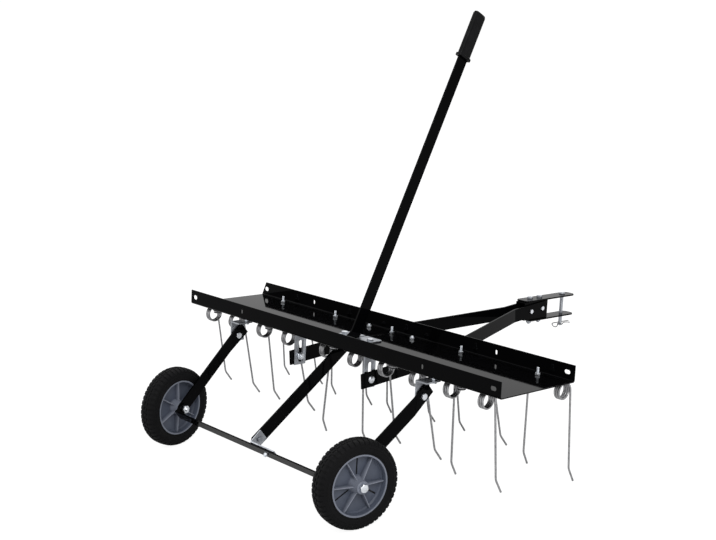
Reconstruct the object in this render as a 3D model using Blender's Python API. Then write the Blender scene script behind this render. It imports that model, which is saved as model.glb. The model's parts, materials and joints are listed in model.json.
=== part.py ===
"""Tow-behind dethatcher: weight tray, spring tines, drawbar, lift frame and wheels.

Everything is modelled in the tray's own frame: X along the tray, +X to the right
seen from behind, +Y towards the hitch, Z up from the underside of the tray, Y zero
on the outer face of the rear flange. The root empty then stands the machine on its
wheels and front tine points, with the origin under the middle of its box.
"""
import bmesh
import bpy
from math import asin, atan2, ceil, cos, degrees, hypot, pi, radians, sin, tan
from mathutils import Matrix, Vector

# Clearances
GAP = 0.0003            # between pieces that rest on each other
SLIDE_GAP = 0.0015      # each side of the lever in its slot
BORE_GAP = 0.0004       # round a bolt in its hole
RUNNING_GAP = 0.0003    # round a wheel bolt in its hub
WIRE_GAP = 0.0005       # over a tine's wire, whose runs tilt a little
OVERSHOOT = 0.003       # of a cutter past the faces it cuts
OVERLAP = 0.0005        # of two solids joined into one
FLUSH = 0.00001         # keeps joined faces off one plane

# Tray
TRAY_LENGTH = 1.02
TRAY_DEPTH = 0.227
TRAY_HEIGHT = 0.0356
TRAY_SHEET = 0.0025
TRAY_BEND = 0.005       # outer radius of the folds
HOLE_INSET = 0.017      # round and end holes from the tray's ends
LIGHTENING_HOLE_X = TRAY_LENGTH / 2 - HOLE_INSET
LIGHTENING_HOLE = 0.009
SMALL_SLOT_X = 0.301
SMALL_SLOT = (0.0045, 0.011)     # width, height
END_SLOT = (0.015, 0.0085)       # width, height
HOLE_HEIGHT = 0.0185

# Fasteners
BOLT = 0.008            # thread
FLATS = 0.013           # across the flats
HEAD = 0.0053
NUT = 0.0065
SMALL_BOLT = 0.006
SMALL_FLATS = 0.010
SMALL_HEAD = 0.004
SMALL_NUT = 0.005
THREAD_END = 0.003      # thread showing past a nut
WHEEL_BOLT = 0.010
WHEEL_FLATS = 0.016
WHEEL_HEAD = 0.0064
WHEEL_NUT = 0.008
WHEEL_WASHER = 0.020
BOLT_SIDES = 12
SMALL_SIDES = 6

# Double spring tines
WIRE = 0.0045
COIL_RADIUS = 0.0172    # to the middle of the wire
COIL_PITCH = 0.0051
COIL_TURNS = 3          # whole turns besides the quarter that reaches the top
COIL_POINTS = 7         # points in a turn
COIL_FORWARD = 0.0225   # coil's middle in front of the bolt
COIL_SPREAD = 0.0545    # arm at the coil, from the middle of the tine
TIP_SPREAD = 0.0629     # arm at its point
ARM_LENGTH = 0.167      # from the coil to the elbow
POINT_LENGTH = 0.0325   # below the elbow
POINT_BEND = radians(27)
ELBOW_RADIUS = 0.022
YOKE_FILLET = 0.006
EYE_FILLET = 0.004
EYE_RADIUS = 0.0072
CLAMP_WASHER = 0.024
CLAMP_SHEET = 0.002
TINE_THREAD = 0.0225    # top of the tine bolts over the underside of the tray
REAR_TINE_Y = 0.018
FRONT_TINE_INSET = 0.0255
FRONT_TINE_Y = TRAY_DEPTH - FRONT_TINE_INSET
# Place along the tray, and how far the left and the right arm lean forward in degrees
REAR_TINES = ((-0.4225, 12.2, 10.4), (-0.2175, 10.8, 12.5), (0.0125, -3.0, 0.3),
              (0.2025, 12.1, 11.5), (0.3945, 4.0, 3.3))
FRONT_TINES = ((-0.394, 7.6, 10.1), (-0.193, 4.1, 6.3), (0.005, 5.5, 11.6),
               (0.222, 12.9, 13.0), (0.4355, 2.9, 1.8))

# Wheels
WHEEL_Y = -0.1775
WHEEL_Z = -0.1864
WHEEL_X = 0.311
WHEEL_TOE = radians(9.6)
TYRE_RADIUS = 0.091
TYRE_WIDTH = 0.042
TYRE_SHOULDER = ((0.45, 0.0006), (0.80, 0.0045), (1.0, 0.012))   # share of half width, drop
TYRE_BEAD = 0.006       # foot of the sidewall over the rim
TYRE_SEAT = 0.9         # width of the foot over the tyre's
RIM_RADIUS = 0.0629
RIM_WIDTH = 0.037
RIM_WALL = 0.004
RIM_WEB = 0.006
RIM_FLARE = 0.003       # web to wall
HUB_FLARE = 0.001       # hub at the web
HUB_RADIUS = 0.0155
HUB_NOSE = 0.0125       # radius of the hub's outer end
HUB_OUT = 0.0285        # hub end outside, from the middle of the tyre
HUB_IN = 0.0225         # hub end inside
WHEEL_STEPS = 24

# Lift frame
PIVOT_Y = -0.003
PIVOT_Z = -0.040
LIFT_SWING = radians(25)
ARM_WIDTH = 0.030
ARM_SHEET = 0.004
ARM_OVERRUN = 0.0255    # arm past its pivot
ARM_BEND_Y = -0.024
ARM_SEAT = 0.0265       # middle of the arm from the middle of the tyre
BRACKET_SHEET = 0.003
BRACKET_WIDTH = 0.043
BRACKET_BACK = -0.020
BRACKET_FRONT = 0.021
BRACKET_SPACER = 0.0048
BRACKET_FOOT = -0.054   # lower end of the leg
BRACKET_CORNER = (0.013, 0.011)     # cut off the plate in x and y
LEG_SETBACK = 0.003     # leg behind the plate's front edge
BRACKET_BOLT_Y = 0.0115
BRACKET_BOLT_X = 0.021  # from the leg's outer face
AXLE_SHEET = 0.0034
AXLE_WIDTH = 0.0254
AXLE_BEYOND = 0.0142    # axle bar past the wheel bolts, along the arms

# Lift lever
LEVER_WIDTH = 0.030
LEVER_SHEET = 0.004
LEVER_FOOT = (-0.1715, -0.1805)
LEVER_BEND = (0.092, 0.0135)
LEVER_LEAN = radians(64.3)
LEVER_RADIUS = 0.045
LEVER_HAND = 0.687      # from the bend to the lower end of the grip
GRIP_LENGTH = 0.116
GRIP_WIDTH = 0.037
GRIP_THICK = 0.014
GRIP_COLLAR = (0.042, 0.018, 0.007)   # width, thickness, length
GRIP_CAP = 0.010        # solid end over the lever
GRIP_STEP = 0.002       # from the collar down to the hand part
GRIP_END = ((0.010, 1.0), (0.003, 0.86), (0.0, 0.6))    # distance from the end, share of size
GRIP_ROUNDING = 0.42    # corner radius over thickness
GUIDE_SHEET = 0.003
GUIDE_X = 0.053
GUIDE_BACK = 0.056
GUIDE_BRIDGE = 0.008    # least metal behind the slot
LOAD_MARGIN = 0.005     # between the guide and the load beside it
GUIDE_FRONT = 0.126
GUIDE_BOLT = (0.041, 0.098)
FOOT_PLATE = 0.080      # foot bracket along the axle bar
FOOT_WIDTH = 0.027
FOOT_BACK = -0.0160     # its rear edge, across the arms from the wheel bolts
FOOT_RISE = 0.034
FOOT_BOLT_X = 0.054
FOOT_BOLT_UP = 0.019    # over the axle bar
FOOT_CHAMFER = (0.0075, 0.0095)     # cut off the lever's lower rear corner

# Drawbar
BAR_HEIGHT = 0.0336
BAR_SHEET = 0.0045
BAR_X = 0.1207
BAR_REAR_Y = 0.0041
BAR_REAR_Z = -0.0558
BAR_BEND_Y = 0.2347
BAR_MEET_Y = 0.619
BAR_MEET_X = 0.0172
BAR_END_Y = 0.744
BAR_SLOPE = atan2(0.0567, 0.6315)
BAR_RADIUS = 0.012
DRAW_PIVOT_INSET = 0.037
DRAW_PIVOT_Y = TRAY_DEPTH - DRAW_PIVOT_INSET
HANGER_Y = 0.030
HANGER_WIDTH = 0.033
HANGER_FLANGE = 0.032
HANGER_FOOT = -0.073
DRAW_DOWN = radians(10.8)   # hitch down, bars up in their hangers
DRAW_UP = radians(2.3)
SLOT_END = 0.003        # slot past the bolt's travel
PIVOT_FLANGE = 0.0545
PIVOT_FORWARD = 0.005   # middle of the pivot angle from its bolt
PIVOT_BOLT_X = 0.0715
FLANGE_BOLT_X = 0.099

# Hitch
TUBE_BACK = 0.660
TUBE_FRONT = 0.752
TUBE_WIDTH = 0.0292
TUBE_TOP = 0.0282
TUBE_FOOT = -0.0185
TUBE_WALL = 0.003
TONGUE_SHEET = 0.004
TONGUE_WIDTH = 0.038
TONGUE_FRONT = 0.863
TONGUE_CORNER = 0.008   # radius behind
TONGUE_MARGIN = 0.002   # between the box bracket and what the tongues hold
TONGUE_NOSE = 0.014     # radius in front
PIN_MARGIN = 0.019      # face kept free behind the pin
TOP_TONGUE_BACK = 0.664
LOW_TONGUE_BACK = 0.682
UPRIGHT_BOLTS = (0.697, 0.7345)
CROSS_BOLTS = (0.680, 0.7235)
PIN = 0.0095
PIN_Y = 0.828
PIN_HEAD = (0.016, 0.004)           # diameter, height
PIN_CHAMFER = 0.001
PIN_FOOT = -0.052
CLIP_WIRE = 0.0024
CLIP_Z = -0.043
CLIP_LOOP = 0.0065
CLIP_BACK = 0.030       # loop's middle from the pin
CLIP_FRONT = 0.036
CLIP_TILT = radians(40)
CLIP_MOUTH = 0.008      # end of the loop's wire before the loop's middle
CLIP_TAIL = 0.012       # where the spring leg turns out, from its end

# Colours: base colour, roughness, metallic
BLACK_COAT = (0.012, 0.012, 0.013), 0.25, 0.0
ZINC = (0.62, 0.63, 0.65), 0.35, 1.0
SPRING_STEEL = (0.25, 0.25, 0.26), 0.40, 1.0
TYRE_RUBBER = (0.016, 0.016, 0.017), 0.75, 0.0
RIM_PLASTIC = (0.075, 0.083, 0.095), 0.45, 0.0
GRIP_PLASTIC = (0.014, 0.014, 0.015), 0.60, 0.0


def clear_scene():
    for thing in list(bpy.data.objects):
        bpy.data.objects.remove(thing, do_unlink=True)


def material(name, finish):
    """A Principled material of its own for one object."""
    colour, roughness, metallic = finish
    made = bpy.data.materials.new(name)
    made.use_nodes = True
    shader = made.node_tree.nodes["Principled BSDF"]
    shader.inputs["Base Color"].default_value = (*colour, 1.0)
    shader.inputs["Roughness"].default_value = roughness
    shader.inputs["Metallic"].default_value = metallic
    return made


def link(thing, finish, parent):
    bpy.context.scene.collection.objects.link(thing)
    thing.parent = parent
    if finish:
        thing.data.materials.append(material(thing.name, finish))
    return thing


def empty(name, parent, location=(0, 0, 0), turn=(0, 0, 0)):
    made = bpy.data.objects.new(name, None)
    made.location = location
    made.rotation_euler = turn
    return link(made, None, parent)


def solid(name, bm, finish, parent, smooth=False):
    """An object from a bmesh whose faces are turned outwards."""
    bmesh.ops.recalc_face_normals(bm, faces=bm.faces)
    mesh = bpy.data.meshes.new(name)
    bm.to_mesh(mesh)
    bm.free()
    if smooth:
        mesh.shade_smooth()
        mesh.set_sharp_from_angle(angle=radians(35))
    return link(bpy.data.objects.new(name, mesh), finish, parent)


def along(axis, a, b, c):
    """A point with a and b across the axis and c along it."""
    return {"X": (c, a, b), "Y": (a, c, b), "Z": (a, b, c)}[axis]


def add_prism(bm, outline, axis, low, high):
    """Extrudes an outline from low to high along the axis."""
    ends = [[bm.verts.new(along(axis, a, b, c)) for a, b in outline] for c in (low, high)]
    bm.faces.new(ends[0])
    bm.faces.new(ends[1][::-1])
    for i in range(len(outline)):
        j = (i + 1) % len(outline)
        bm.faces.new((ends[0][i], ends[0][j], ends[1][j], ends[1][i]))


def prism(name, outline, axis, low, high, finish, parent):
    bm = bmesh.new()
    add_prism(bm, outline, axis, low, high)
    return solid(name, bm, finish, parent)


def ring_points(kind, radius, count):
    """Points round a circle, or round a hexagon of that inner radius."""
    points = []
    for i in range(count):
        turn = 2 * pi * i / count
        reach = radius
        if kind == "hex":
            reach = radius / cos((turn % (pi / 3)) - pi / 6)
        points.append((reach * cos(turn), reach * sin(turn)))
    return points


def add_stack(bm, rings, axis, centre, count):
    """A turned or hexagonal body from (place along the axis, kind, radius) rings."""
    a0, b0 = centre
    loops = []
    for place, kind, radius in rings:
        points = ring_points(kind, radius, count)
        loops.append([bm.verts.new(along(axis, a0 + a, b0 + b, place)) for a, b in points])
    bm.faces.new(loops[0])
    bm.faces.new(loops[-1][::-1])
    for low, high in zip(loops, loops[1:]):
        for i in range(count):
            j = (i + 1) % count
            bm.faces.new((low[i], low[j], high[j], high[i]))


def stack(name, rings, axis, centre, finish, parent, count=BOLT_SIDES):
    bm = bmesh.new()
    add_stack(bm, rings, axis, centre, count)
    return solid(name, bm, finish, parent, smooth=True)


def turned(name, outline, finish, parent, count):
    """A ring turned round local X from a closed outline of (along, radius) points."""
    bm = bmesh.new()
    loops = []
    for i in range(count):
        turn = 2 * pi * i / count
        loops.append([bm.verts.new((a, r * cos(turn), r * sin(turn))) for a, r in outline])
    for i, loop in enumerate(loops):
        after = loops[(i + 1) % count]
        for j in range(len(outline)):
            k = (j + 1) % len(outline)
            bm.faces.new((loop[j], loop[k], after[k], after[j]))
    return solid(name, bm, finish, parent, smooth=True)


def cut(target, add_shapes, operation="DIFFERENCE"):
    """Cuts, or joins, the shapes that add_shapes puts in a bmesh."""
    bm = bmesh.new()
    add_shapes(bm)
    tool = solid(target.name + "_" + operation.lower(), bm, None, target.parent)
    tool.location = target.location
    tool.rotation_euler = target.rotation_euler
    tool.hide_render = True
    tool.display_type = "WIRE"
    step = target.modifiers.new(tool.name, "BOOLEAN")
    step.operation = operation
    step.solver = "EXACT"
    step.object = tool


def drill(bm, axis, centre, radius, low, high, count=8):
    """A cutter for a hole whose flats lie at the radius."""
    reach = radius / cos(pi / count)
    add_stack(bm, ((low, "round", reach), (high, "round", reach)), axis, centre, count)


def box_outline(a0, a1, b0, b1):
    return [(a0, b0), (a1, b0), (a1, b1), (a0, b1)]


def arc(centre, radius, start, end, steps):
    """Points from angle start to end about a centre."""
    turns = [start + (end - start) * i / steps for i in range(steps + 1)]
    return [(centre[0] + radius * cos(t), centre[1] + radius * sin(t)) for t in turns]


def slot_outline(centre, width, height):
    """A slot with round ends, upright or level."""
    a, b = centre
    r = min(width, height) / 2
    da, db = width / 2 - r, height / 2 - r
    if width < height:
        return (arc((a, b + db), r, 0, pi, 4) + arc((a, b - db), r, pi, 2 * pi, 4))
    return (arc((a + da, b), r, -pi / 2, pi / 2, 4) + arc((a - da, b), r, pi / 2, 3 * pi / 2, 4))


def band(path, width, radius, steps=4):
    """The outline of a strip along a path whose corners are bent to a middle radius."""
    sides = ([], [])
    points = [Vector(p) for p in path]
    for i, point in enumerate(points):
        into = (point - points[i - 1]).normalized() if i else (points[1] - point).normalized()
        out = (points[i + 1] - point).normalized() if i + 1 < len(points) else into
        bend = into.angle_signed(out) if i and i + 1 < len(points) else 0
        if abs(bend) < 1e-6:
            for side, sign in zip(sides, (1, -1)):
                side.append(point + sign * width / 2 * Vector((-into.y, into.x)))
            continue
        setback = radius * tan(abs(bend) / 2)
        hand = 1 if into.x * out.y - into.y * out.x > 0 else -1
        start = point - into * setback
        centre = start + hand * radius * Vector((-into.y, into.x))
        first = start - centre
        for k in range(steps + 1):
            spoke = first.copy()
            spoke.rotate(Matrix.Rotation(hand * abs(bend) * k / steps, 2))
            for side, sign in zip(sides, (1, -1)):
                reach = radius - hand * sign * width / 2
                side.append(centre + spoke.normalized() * reach)
    return [tuple(p) for p in sides[0]] + [tuple(p) for p in reversed(sides[1])]


def fastener(name, axis, centre, seats, finish, parent, small=False, flip=False):
    """Bolt and nut as one body, clamping what lies between two seats, nut first if flipped."""
    bolt, flats, head, nut = ((SMALL_BOLT, SMALL_FLATS, SMALL_HEAD, SMALL_NUT) if small
                              else (BOLT, FLATS, HEAD, NUT))
    shank = bolt / 2
    low, high = seats[0] - GAP, seats[1] + GAP
    first, last = (nut, head) if flip else (head, nut)
    rings = [(low - first, "hex", flats / 2), (low, "hex", flats / 2), (low, "round", shank),
             (high, "round", shank), (high, "hex", flats / 2), (high + last, "hex", flats / 2)]
    if flip:
        rings = [(low - first - THREAD_END, "round", shank), (low - first, "round", shank)] + rings
    else:
        rings += [(high + last, "round", shank), (high + last + THREAD_END, "round", shank)]
    return stack(name, rings, axis, centre, finish, parent, SMALL_SIDES if small else BOLT_SIDES)


def weld_stud(target, centre, sheet, seat, axis_sign=1):
    """A bolt fixed in a plate: its head on the plate, its nut on a seat beyond.

    The plate lies between the two z values of sheet, and the seat is the far face of
    what the plate is bolted to, above it for a sign of 1 and below it for -1.
    """
    near, far = sheet if axis_sign > 0 else sheet[::-1]
    flats, shank = SMALL_FLATS / 2, SMALL_BOLT / 2
    inside = (near + far) / 2
    nut = seat + axis_sign * GAP
    rings = ((near - axis_sign * SMALL_HEAD, "hex", flats), (inside, "hex", flats),
             (inside, "round", shank), (nut, "round", shank), (nut, "hex", flats),
             (nut + axis_sign * SMALL_NUT, "hex", flats),
             (nut + axis_sign * SMALL_NUT, "round", shank),
             (nut + axis_sign * (SMALL_NUT + THREAD_END), "round", shank))
    cut(target, lambda bm: add_stack(bm, rings, "Z", centre, SMALL_SIDES), "UNION")


def tray_outline():
    """Section of the tray with its two flanges, as (y, z) points."""
    t, r, d, h = TRAY_SHEET, TRAY_BEND, TRAY_DEPTH, TRAY_HEIGHT
    outer = arc((r, r), r, pi, 1.5 * pi, 4) + arc((d - r, r), r, -pi / 2, 0, 4)
    inner = arc((d - r, r), r - t, 0, -pi / 2, 4) + arc((r, r), r - t, 1.5 * pi, pi, 4)
    return [(0, h)] + outer + [(d, h), (d - t, h)] + inner + [(t, h)]


def lever_point(y, z, swing):
    """A point of the lift frame in the tray's (y, z) plane after a swing."""
    dy, dz = y - PIVOT_Y, z - PIVOT_Z
    return (PIVOT_Y + dy * cos(swing) - dz * sin(swing),
            PIVOT_Z + dy * sin(swing) + dz * cos(swing))


def lever_path():
    """Middle line of the lever from its foot to the end inside the grip."""
    reach = LEVER_HAND + GRIP_LENGTH - GRIP_CAP
    return [LEVER_FOOT, LEVER_BEND, (LEVER_BEND[0] + reach * cos(LEVER_LEAN),
                                     LEVER_BEND[1] + reach * sin(LEVER_LEAN))]


def slot_span():
    """Where the lever's edges cross the tray as it swings: least and greatest y."""
    outline = band(lever_path(), LEVER_WIDTH, LEVER_RADIUS)
    reach = []
    for step in range(11):
        swung = [lever_point(y, z, -LIFT_SWING * step / 10) for y, z in outline]
        for (y0, z0), (y1, z1) in zip(swung, swung[1:] + swung[:1]):
            for level in (0, TRAY_SHEET + GUIDE_SHEET):
                if (z0 - level) * (z1 - level) < 0:
                    reach.append(y0 + (y1 - y0) * (level - z0) / (z1 - z0))
    return min(reach) - 2 * SLIDE_GAP, max(reach) + 2 * SLIDE_GAP


def score(target, normal, at):
    """Splits flat faces where a plane crosses them, at a distance along its normal."""
    bm = bmesh.new()
    bm.from_mesh(target.data)
    parts = bm.verts[:] + bm.edges[:] + bm.faces[:]
    bmesh.ops.bisect_plane(bm, geom=parts, plane_co=Vector(normal) * at, plane_no=normal)
    bm.to_mesh(target.data)
    bm.free()


def make_tray(root):
    """The folded tray with its holes, its floor parted where the load lies."""
    half = TRAY_LENGTH / 2
    tray = prism("deck", tray_outline(), "X", -half, half, BLACK_COAT, root)
    for side in (-1, 1):
        score(tray, (1, 0, 0), side * (GUIDE_X + LOAD_MARGIN))
    for y in (HANGER_Y + FLATS, FRONT_TINE_Y - FLATS):
        score(tray, (0, 1, 0), y)
    slot_back, slot_front = slot_span()
    slot_half = LEVER_SHEET / 2 + SLIDE_GAP

    def holes(bm):
        through = (-OVERSHOOT, TRAY_SHEET + OVERSHOOT)
        for x, _, _ in REAR_TINES:
            drill(bm, "Z", (x, REAR_TINE_Y), BOLT / 2 + BORE_GAP, *through)
        for x, _, _ in FRONT_TINES:
            drill(bm, "Z", (x, FRONT_TINE_Y), BOLT / 2 + BORE_GAP, *through)
        for arm_x in (-arm_top_x(), arm_top_x()):
            drill(bm, "Z", (bracket_bolt_x(arm_x), BRACKET_BOLT_Y),
                  SMALL_BOLT / 2 + BORE_GAP, *through)
        for side in (-1, 1):
            drill(bm, "Z", (side * FLANGE_BOLT_X, HANGER_Y), SMALL_BOLT / 2 + BORE_GAP, *through)
            drill(bm, "Z", (side * PIVOT_BOLT_X, FRONT_TINE_Y), SMALL_BOLT / 2 + BORE_GAP,
                  *through)
            drill(bm, "Z", (side * GUIDE_BOLT[0], GUIDE_BOLT[1]), SMALL_BOLT / 2 + BORE_GAP,
                  *through)
        add_prism(bm, box_outline(-slot_half, slot_half, slot_back, slot_front), "Z", *through)
        for low, high in (through, (TRAY_DEPTH - TRAY_SHEET - OVERSHOOT, TRAY_DEPTH + OVERSHOOT)):
            drill(bm, "Y", (-LIGHTENING_HOLE_X, HOLE_HEIGHT), LIGHTENING_HOLE / 2, low, high)
            for side in (-1, 1):
                add_prism(bm, slot_outline((side * SMALL_SLOT_X, HOLE_HEIGHT), *SMALL_SLOT),
                          "Y", low, high)
            add_prism(bm, slot_outline((LIGHTENING_HOLE_X, HOLE_HEIGHT), *END_SLOT),
                      "Y", low, high)

    cut(tray, holes)


def fillet(corner, before, after, radius, steps):
    """Points of a round corner between two straight runs in space."""
    corner, before, after = Vector(corner), Vector(before), Vector(after)
    into, out = (corner - before).normalized(), (after - corner).normalized()
    bend = into.angle(out)
    setback = radius * tan(bend / 2)
    start = corner - into * setback
    side = (out - into * into.dot(out)).normalized()
    centre = start + side * radius
    return [centre - side * radius * cos(bend * i / steps) + into * radius * sin(bend * i / steps)
            for i in range(steps + 1)]


def yoke_level():
    """Middle of a tine's wire where it is clamped."""
    return -GAP - CLAMP_SHEET - WIRE_GAP - WIRE / 2


def tine_half(lean, side):
    """Wire of one half tine, from its point to the eye, about the bolt at x and y zero."""
    yoke_z = yoke_level()
    coil_z = yoke_z - COIL_RADIUS
    run_y = COIL_FORWARD - WIRE - YOKE_FILLET

    def on_coil(x, turn):
        return Vector((x, COIL_FORWARD + COIL_RADIUS * cos(turn), coil_z + COIL_RADIUS * sin(turn)))

    start = on_coil(COIL_SPREAD, lean)
    splay = (TIP_SPREAD - COIL_SPREAD) / (ARM_LENGTH + POINT_LENGTH)
    low = lean + POINT_BEND
    elbow = start + ARM_LENGTH * Vector((splay, sin(lean), -cos(lean)))
    tip = elbow + POINT_LENGTH * Vector((splay, sin(low), -cos(low)))
    points = [tip] + fillet(elbow, tip, start, ELBOW_RADIUS, 1)
    sweep = COIL_TURNS * 2 * pi + pi / 2 - lean
    steps = ceil(sweep / (2 * pi) * COIL_POINTS)
    points += [on_coil(COIL_SPREAD - COIL_PITCH * sweep / (2 * pi) * i / steps,
                       lean + sweep * i / steps) for i in range(steps + 1)]
    coil_end = points[-1]
    corner = Vector((coil_end.x, run_y, yoke_z))
    eye_corner = Vector((EYE_RADIUS, run_y, yoke_z))
    eye_side = Vector((EYE_RADIUS, 0, yoke_z))
    points += fillet(corner, coil_end, eye_corner, YOKE_FILLET, 1)
    points += fillet(eye_corner, corner, eye_side, EYE_FILLET, 1)
    points += [Vector((EYE_RADIUS * cos(t), -EYE_RADIUS * sin(t), yoke_z)) for t in (0, pi / 4)]
    return [Vector((side * p.x, p.y, p.z)) for p in points]


def tine_points(left_lean, right_lean):
    """The whole wire: right half, the back of the eye, left half backwards."""
    right, left = tine_half(radians(right_lean), 1), tine_half(radians(left_lean), -1)
    return right + [Vector((0, -EYE_RADIUS, yoke_level()))] + left[::-1]


def least_gap(points, skip):
    """Least clear distance between parts of one wire that lie skip or more points apart."""
    fine = []
    for a, b in zip(points, points[1:]):
        fine += [a.lerp(b, k / 4) for k in range(4)]
    return min((fine[i] - fine[j]).length for i in range(len(fine))
               for j in range(i + skip * 4, len(fine))) - WIRE


def wire_object(name, points, thick, finish, parent, location=(0, 0, 0)):
    """A six-sided tube along straight runs between the points, with closed ends."""
    curve = bpy.data.curves.new(name, "CURVE")
    curve.dimensions = "3D"
    curve.bevel_depth = thick / 2
    curve.bevel_resolution = 1
    curve.use_fill_caps = True
    spline = curve.splines.new("POLY")
    spline.points.add(len(points) - 1)
    for spot, point in zip(spline.points, points):
        spot.co = (*point, 1)
    made = link(bpy.data.objects.new(name, curve), finish, parent)
    made.location = location
    return made


def make_tines(root):
    """Ten double tines, each between the two washers of its clamping bolt."""
    clamp = WIRE / 2 + GAP - yoke_level()
    least = 1.0
    for row, y, tines in (("rear", REAR_TINE_Y, REAR_TINES), ("front", FRONT_TINE_Y, FRONT_TINES)):
        for number, (x, *leans) in enumerate(tines, 1):
            points = tine_points(*leans)
            least = min(least, least_gap(points, COIL_POINTS // 2))
            wire_object(f"tine_{row}_{number}", points, WIRE, SPRING_STEEL, root, (x, y, 0))
            top = TRAY_SHEET + GAP
            stack(f"tine_bolt_{row}_{number}",
                  ((-clamp - CLAMP_SHEET - HEAD, "hex", FLATS / 2),
                   (-clamp - CLAMP_SHEET, "hex", FLATS / 2),
                   (-clamp - CLAMP_SHEET, "round", CLAMP_WASHER / 2),
                   (-clamp, "round", CLAMP_WASHER / 2),
                   (-clamp, "round", BOLT / 2),
                   (-GAP - CLAMP_SHEET, "round", BOLT / 2),
                   (-GAP - CLAMP_SHEET, "round", CLAMP_WASHER / 2),
                   (-GAP, "round", CLAMP_WASHER / 2),
                   (-GAP, "round", BOLT / 2),
                   (top, "round", BOLT / 2),
                   (top, "hex", FLATS / 2),
                   (top + NUT, "hex", FLATS / 2),
                   (top + NUT, "round", BOLT / 2),
                   (TINE_THREAD, "round", BOLT / 2)), "Z", (x, y), ZINC, root)
    print(f"least gap of a tine wire to itself {least * 1000:.2f} mm")


def arm_top_x():
    """Middle of an arm at its pivot."""
    hub_x = WHEEL_X - ARM_SEAT * cos(WHEEL_TOE)
    return hub_x + (ARM_BEND_Y - WHEEL_Y - ARM_SEAT * sin(WHEEL_TOE)) * tan(WHEEL_TOE)


def leg_outer_x(arm_x):
    """Left face of the bracket leg that lies against an arm's left face."""
    return arm_x - ARM_SHEET / 2 - GAP - BRACKET_SHEET


def bracket_bolt_x(arm_x):
    return leg_outer_x(arm_x) + BRACKET_BOLT_X


def make_arm_brackets(root):
    """Zinc angles under the tray's rear edge, with their bolts and the arm pivots."""
    for name, arm_x in (("left", -arm_top_x()), ("right", arm_top_x())):
        leg_x = leg_outer_x(arm_x)
        top, under = -BRACKET_SPACER, -BRACKET_SPACER - BRACKET_SHEET
        plate = [(leg_x, BRACKET_BACK), (leg_x + BRACKET_WIDTH, BRACKET_BACK),
                 (leg_x + BRACKET_WIDTH, BRACKET_FRONT - BRACKET_CORNER[1]),
                 (leg_x + BRACKET_WIDTH - BRACKET_CORNER[0], BRACKET_FRONT), (leg_x, BRACKET_FRONT)]
        bracket = prism(f"arm_bracket_{name}", plate, "Z", under, top, ZINC, root)
        leg = box_outline(BRACKET_BACK, BRACKET_FRONT - LEG_SETBACK, BRACKET_FOOT, top - OVERLAP)
        cut(bracket, lambda bm: add_prism(bm, leg, "X", leg_x + FLUSH, leg_x + BRACKET_SHEET),
            "UNION")

        def holes(bm):
            drill(bm, "X", (PIVOT_Y, PIVOT_Z), BOLT / 2 + BORE_GAP, leg_x - OVERSHOOT,
                  leg_x + BRACKET_SHEET + OVERSHOOT)
            drill(bm, "Z", (leg_x + BRACKET_BOLT_X, BRACKET_BOLT_Y), SMALL_BOLT / 2 + BORE_GAP,
                  under - OVERSHOOT, top + OVERSHOOT)

        cut(bracket, holes)
        shank, flats = SMALL_BOLT / 2, SMALL_FLATS / 2
        low, high = under - GAP, TRAY_SHEET + GAP
        stack(f"arm_bracket_bolt_{name}",
              ((low - SMALL_HEAD, "hex", flats), (low, "hex", flats), (low, "round", shank),
               (top + GAP, "round", shank), (top + GAP, "hex", flats), (-GAP, "hex", flats),
               (-GAP, "round", shank), (high, "round", shank), (high, "hex", flats),
               (high + SMALL_NUT, "hex", flats), (high + SMALL_NUT, "round", shank),
               (high + SMALL_NUT + THREAD_END, "round", shank)),
              "Z", (leg_x + BRACKET_BOLT_X, BRACKET_BOLT_Y), ZINC, root, SMALL_SIDES)
        fastener(f"arm_pivot_bolt_{name}", "X", (PIVOT_Y, PIVOT_Z),
                 (leg_x, arm_x + ARM_SHEET / 2), ZINC, root, flip=True)


def make_arms(lift):
    """Flat bars from the pivots to the hubs, turned in to stand square to the wheels."""
    hub = Vector((WHEEL_Y + ARM_SEAT * sin(WHEEL_TOE) - PIVOT_Y, WHEEL_Z - PIVOT_Z))
    run = hub.normalized()
    half = ARM_WIDTH / 2
    across = Vector((-run.y, run.x))
    top = -run * ARM_OVERRUN
    facing = atan2(run.y, run.x)
    round_end = arc(tuple(hub), half, facing - pi / 2, facing + pi / 2, 8)
    outline = round_end + [tuple(top + across * half), tuple(top - across * half)]
    bend_y = ARM_BEND_Y - PIVOT_Y
    for name, side in (("left", -1), ("right", 1)):
        bm = bmesh.new()
        x = side * arm_top_x()
        add_prism(bm, outline, "X", x - ARM_SHEET / 2, x + ARM_SHEET / 2)
        bmesh.ops.bisect_plane(bm, geom=bm.verts[:] + bm.edges[:] + bm.faces[:],
                               plane_co=(0, bend_y, 0), plane_no=(0, 1, 0))
        for vert in bm.verts:
            behind = bend_y - vert.co.y
            if behind > 0:
                vert.co.x -= side * behind * tan(WHEEL_TOE)
        arm = solid(f"arm_{name}", bm, BLACK_COAT, lift)

        def bores(bm):
            drill(bm, "X", (0, 0), BOLT / 2 + BORE_GAP, x - ARM_SHEET / 2 - OVERSHOOT,
                  x + ARM_SHEET / 2 + OVERSHOOT)
            add_wheel_bore(bm, side)

        cut(arm, bores)


def add_bmesh(bm, made):
    """Adds one bmesh to another and frees it."""
    mesh = bpy.data.meshes.new("added")
    made.to_mesh(mesh)
    made.free()
    bm.from_mesh(mesh)
    bpy.data.meshes.remove(mesh)


def wheel_matrix(side):
    """Places a wheel's own frame, local X along its axle, in the lift frame."""
    spot = Vector((side * WHEEL_X, WHEEL_Y - PIVOT_Y, WHEEL_Z - PIVOT_Z))
    return Matrix.Translation(spot) @ Matrix.Rotation(-side * WHEEL_TOE, 4, "Z")


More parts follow.
